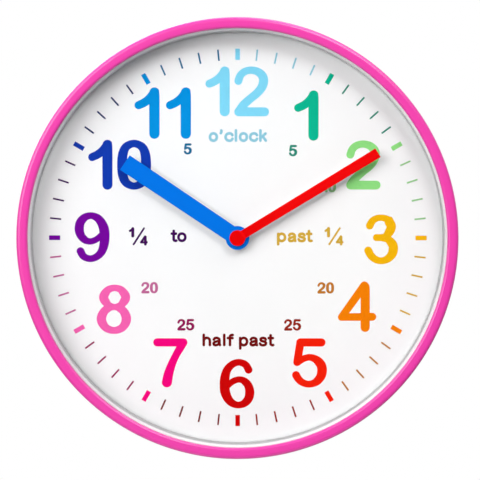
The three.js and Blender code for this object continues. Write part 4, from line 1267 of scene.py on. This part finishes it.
def hanging_box():
    low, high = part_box("hanging_box")
    rear, front = forward_of("hanging_box")
    sides = (low.x + HANGER_FOOT, high.x - HANGER_FOOT)
    heights = (low.z + HANGER_FOOT, high.z - HANGER_FOOT)
    box = rounded_block("white_hanging_box", sides, (rear, front), heights, HANGER_CORNER)
    foot = rounded_block(
        "hanger_foot", (low.x, high.x), (front - HANGER_FOOT_THICKNESS, front), (low.z, high.z),
        HANGER_CORNER + HANGER_FOOT / 2)
    added_to(box, foot)
    cut_by(box, block(
        "hanger_room", (sides[0] + HANGER_WALL, sides[1] - HANGER_WALL),
        (rear + HANGER_BACK, front + MM), (heights[0] + HANGER_WALL, heights[1] - HANGER_WALL)))
    through = (rear - MM, rear + HANGER_BACK + MM)
    keyhole = drum("keyhole", KEYHOLE_RADIUS, *through, Vector((0, 0, -SLOT_LENGTH)), KEYHOLE_STEPS)
    slot_end = drum("slot_end", SLOT_WIDTH / 2, *through, Vector((0, 0, 0)), HOLE_STEPS)
    slot = block("slot", either_side(0, SLOT_WIDTH / 2), through, (-SLOT_LENGTH, 0))
    cut_by(box, added_to(keyhole, slot_end, slot))
    return weighted(edges_broken(box, EDGE, 3))


fitted(back_plate(), "case", WHITE, "white_plastic", "back_plate")
fitted(hanging_box(), "case", WHITE, "white_plastic", "hanging_box")

# Back of the movement, setting knob and battery

KNOB_AXIS = middle_of("setting_knob")
LID_REAR = forward_of("movement_cover")[0]


def round_the_knob(piece):
    """Moves a piece made round the hands' axis to the knob's."""
    piece.data.transform(Matrix.Translation(Vector((KNOB_AXIS.x, 0, KNOB_AXIS.z - AXIS.z))))
    return piece


def setting_arrow():
    """A polished, double-headed arrow that stands out of the lid and bends round the knob; its lighter grey
    is painted sheen.
    """
    rear, front = either_side(LID_REAR, RELIEF)
    arrow = round_the_knob(spun_ring("setting_arrow", [
        (ARROW_RADIUS - ARROW_WIDTH / 2, rear, 0),
        (ARROW_RADIUS + ARROW_WIDTH / 2, rear, 0),
        (ARROW_RADIUS + ARROW_WIDTH / 2, front, 0),
        (ARROW_RADIUS - ARROW_WIDTH / 2, front, 0),
    ], steps=ARROW_STEPS, degrees=2 * ARROW_REACH, first=-ARROW_REACH))
    for side in (-1, 1):
        bearing = side * (ARROW_REACH + ARROW_HEAD_REACH)
        tip = point_at(ARROW_RADIUS, bearing, 0)
        head = drum("arrow_head", ARROW_HEAD_RADIUS, rear, front, tip, ARROW_HEAD_CORNERS)
        turned(head, bearing + side * 90, tip)
        added_to(arrow, round_the_knob(head))
    return weighted(edges_broken(arrow, RELIEF / 3))


def battery_signs():
    """A plus over the battery's button and a minus over its base."""
    height = BATTERY_MIDDLE.z + WINDOW_HALF_HEIGHT + SIGN_ABOVE
    long_side = SIGN_LENGTH / 2
    short_side = SIGN_WIDTH / 2

    def sign(across, half_width, half_height):
        return block(
            "battery_signs", either_side(across, half_width), either_side(LID_REAR, RELIEF),
            either_side(height, half_height))

    minus = sign(-SIGN_ACROSS, long_side, short_side)
    plus = added_to(
        sign(SIGN_ACROSS, long_side, short_side), sign(SIGN_ACROSS, short_side, long_side))
    return weighted(edges_broken(joined([minus, plus], "battery_signs"), RELIEF / 3))


def movement_back():
    """The lid of the movement, with the battery's window and a seat for the knob."""
    low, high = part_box("movement_cover")
    lid = rounded_block(
        "black_movement_back", (low.x, high.x), (LID_REAR, LID_REAR + LID_THICKNESS),
        (low.z, high.z), MOVEMENT_CORNER)
    edges_broken(lid, 2 * EDGE, 3)
    through = (LID_REAR - MM, LID_REAR + LID_THICKNESS + MM)
    cut_by(lid, rounded_block(
        "battery_window", either_side(0, WINDOW_HALF_LENGTH), through,
        either_side(BATTERY_MIDDLE.z, WINDOW_HALF_HEIGHT), WINDOW_CORNER))
    cut_by(lid, drum(
        "knob_seat", KNOB_SEAT_RADIUS, LID_REAR - MM, LID_REAR + KNOB_SEAT_DEPTH, KNOB_AXIS))
    cut_by(lid, drum("knob_hole", KNOB_HOLE_RADIUS, *through, KNOB_AXIS, HOLE_STEPS))
    return weighted(lid)


def setting_knob():
    """The ridged knob, dished so that a fingertip turns it."""
    knob = refined("setting_knob", "white_setting_knob", KNOB_EDGE)
    rear = forward_of("setting_knob")[0]
    cut_by(knob, drum("knob_dish", KNOB_DISH_RADIUS, rear - MM, rear + KNOB_DISH_DEPTH, KNOB_AXIS))
    return weighted(knob)


def battery_piece(name, section):
    """A piece of the battery turned about its own length, from (radius, distance, fillet)."""
    piece = spun_ring(name, [
        (radius * MM, along * MM, fillet * MM) for radius, along, fillet in section], HUB_STEPS)
    lay = Matrix.Translation(BATTERY_MIDDLE) @ Matrix.Rotation(math.pi / 2, 4, "Z")
    piece.data.transform(lay @ Matrix.Translation(-AXIS))
    return weighted(piece)


fitted(movement_back(), "case", BLACK, "black_plastic", "movement_cover")
fitted(setting_arrow(), "case", BLACK_RELIEF_PAINTED_SHEEN, "black_plastic")
fitted(battery_signs(), "case", BLACK_RELIEF_PAINTED_SHEEN, "black_plastic")
fitted(setting_knob(), "setting_knob", GEAR, "gear_plastic", "setting_knob")
fitted(
    battery_piece("battery_sleeve", SLEEVE_SECTION), "battery", SLEEVE, "battery_sleeve", "battery")
fitted(battery_piece("battery_button", BUTTON_SECTION), "battery", STEEL, "steel")
fitted(battery_piece("battery_base", BASE_SECTION), "battery", STEEL, "steel")

# Inside of the movement

for node, name, body, finish, slot in (
    ("movement_plate", "black_movement_box", "case", BLACK, "black_plastic"),
    ("train_bridge", "black_train_bridge", "case", BLACK, "black_plastic"),
    ("minute_arbor", "hollow_minute_arbor", "minute_hand", GEAR, "gear_plastic"),
    ("hour_wheel", "hour_wheel_and_tube", "hour_hand", GEAR, "gear_plastic"),
    ("motion_wheel", "motion_wheel_and_pinion", "motion_wheel", GEAR, "gear_plastic"),
    ("centre_wheel", "pierced_centre_wheel", "centre_wheel", GEAR, "gear_plastic"),
    ("clutch_spring", "three_armed_clutch_spring", "centre_wheel", BRASS, "brass"),
    ("third_wheel", "pierced_third_wheel", "third_wheel", GEAR, "gear_plastic"),
    ("second_wheel", "pierced_second_wheel", "second_wheel", GEAR, "gear_plastic"),
    ("intermediate_wheel", "pierced_intermediate_wheel", "intermediate_wheel", GEAR, "gear_plastic"),
    ("rotor", "rotor_pinion", "rotor", GEAR, "gear_plastic"),
    ("rotor_magnet", "round_rotor_magnet", "rotor", MAGNET, "steel"),
    ("stator", "stamped_stator", "case", STEEL, "steel"),
    ("coil_core", "flat_coil_core", "case", STEEL, "steel"),
    ("coil_bobbin", "flanged_coil_bobbin", "case", WHITE, "white_plastic"),
    ("coil_winding", "wound_coil", "case", COPPER, "copper_wire"),
    ("circuit_board", "green_circuit_board", "case", LAMINATE, "laminate"),
    ("quartz_crystal", "quartz_crystal_can", "case", STEEL, "steel"),
    ("contact_positive", "long_battery_contact", "case", STEEL, "steel"),
    ("contact_negative", "short_battery_contact", "case", STEEL, "steel"),
):
    fitted(refined(node, name, INSIDE_EDGE), body, finish, slot, node)

# Floor, light and camera


def white_to_the_eye():
    """A pale floor with a faint cloud in its tone. A pale floor that the camera sees as
    white where no shadow falls.
    """
    finish = Finish("pale floor")
    pale = finish.clouded(finish.noise(6), (0.86, 0.86, 0.86, 1), (0.9, 0.9, 0.9, 1))
    return finish.finished(Base_Color=pale, Roughness=0.8)


bpy.ops.mesh.primitive_circle_add(
    vertices=FLOOR_STEPS, radius=FLOOR_RADIUS, fill_type="NGON", location=(0, 0, FLOOR_HEIGHT))
floor = primitive("floor")
floor.data.materials.append(white_to_the_eye())
floor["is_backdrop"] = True


def lamp(name, place, target, size, power):
    """A round lamp that faces its target."""
    light = bpy.data.lights.new(name, "AREA")
    light.shape = "DISK"
    light.size = size
    light.energy = power
    holder = bpy.data.objects.new(name, light)
    bpy.context.scene.collection.objects.link(holder)
    holder.location = place
    holder.rotation_euler = (target - place).to_track_quat("-Z", "Y").to_euler()


FACE_CENTRE = AXIS + Vector((0, -DIAL_FRONT, 0))
for name, (off_axis, bearing, size, power) in LAMPS.items():
    lean = math.radians(off_axis)
    around = math.radians(bearing)
    heading = Vector((
        math.sin(lean) * math.sin(around), -math.cos(lean), math.sin(lean) * math.cos(around)))
    lamp(name, FACE_CENTRE + heading * LAMP_DISTANCE, FACE_CENTRE, size, power)
rear_place, rear_size, rear_power = REAR_LAMP
lamp("rear", AXIS + rear_place, AXIS, rear_size, rear_power)

world = bpy.data.worlds.new("studio")
bpy.context.scene.world = world
studio = Board(world)
rays = studio.node("LightPath").socket.node.outputs
view = studio.node("TexCoord", output="Generated")


def fade(axis, low, high, least, most):
    """A smooth rise along one axis of the room."""
    heading = studio.node("SeparateXYZ", {}, {0: view}, output=axis)
    return studio.node(
        "MapRange", {"clamp": True, "interpolation_type": "SMOOTHSTEP"},
        {"Value": heading, "From Min": low, "From Max": high, "To Min": least, "To Max": most})


def white(strength):
    return studio.node("Background", {}, {"Color": (1, 1, 1, 1), "Strength": strength})


seen = Wire(studio, rays["Is Camera Ray"]) + Wire(studio, rays["Is Transmission Ray"])
mirrored = Wire(studio, rays["Is Glossy Ray"])
glossy = white(fade("Y", *ROOM_FADE) * fade("Z", *SKY_FADE))
lit = studio.mixed(mirrored, white(AMBIENT), glossy)
whole = studio.mixed(seen, lit, white(1.0))
studio.node("OutputWorld", {}, {"Surface": whole})

camera = bpy.data.cameras.new("camera")
eye = bpy.data.objects.new("camera", camera)
bpy.context.scene.collection.objects.link(eye)
bpy.context.scene.camera = eye
camera.sensor_width = SENSOR_WIDTH
direction = Vector((
    math.sin(math.radians(VIEW_RIGHT)), -1, math.sin(math.radians(VIEW_ABOVE)))).normalized()
pixel = CASE_RADIUS / RIM_PIXELS
frame_width = FRAME_PIXELS * pixel
camera.lens = SENSOR_WIDTH * VIEW_DISTANCE / frame_width
aim = FACE_CENTRE + Vector((
    (FRAME_PIXELS / 2 - DIAL_CENTRE_PIXEL[0]) * pixel, 0,
    (DIAL_CENTRE_PIXEL[1] - FRAME_PIXELS / 2) * pixel))
eye.location = aim + direction * (VIEW_DISTANCE + CASE_FRONT - DIAL_FRONT)
eye.rotation_euler = (aim - eye.location).to_track_quat("-Z", "Y").to_euler()

bpy.context.scene.view_settings.view_transform = "Standard"

low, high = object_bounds()
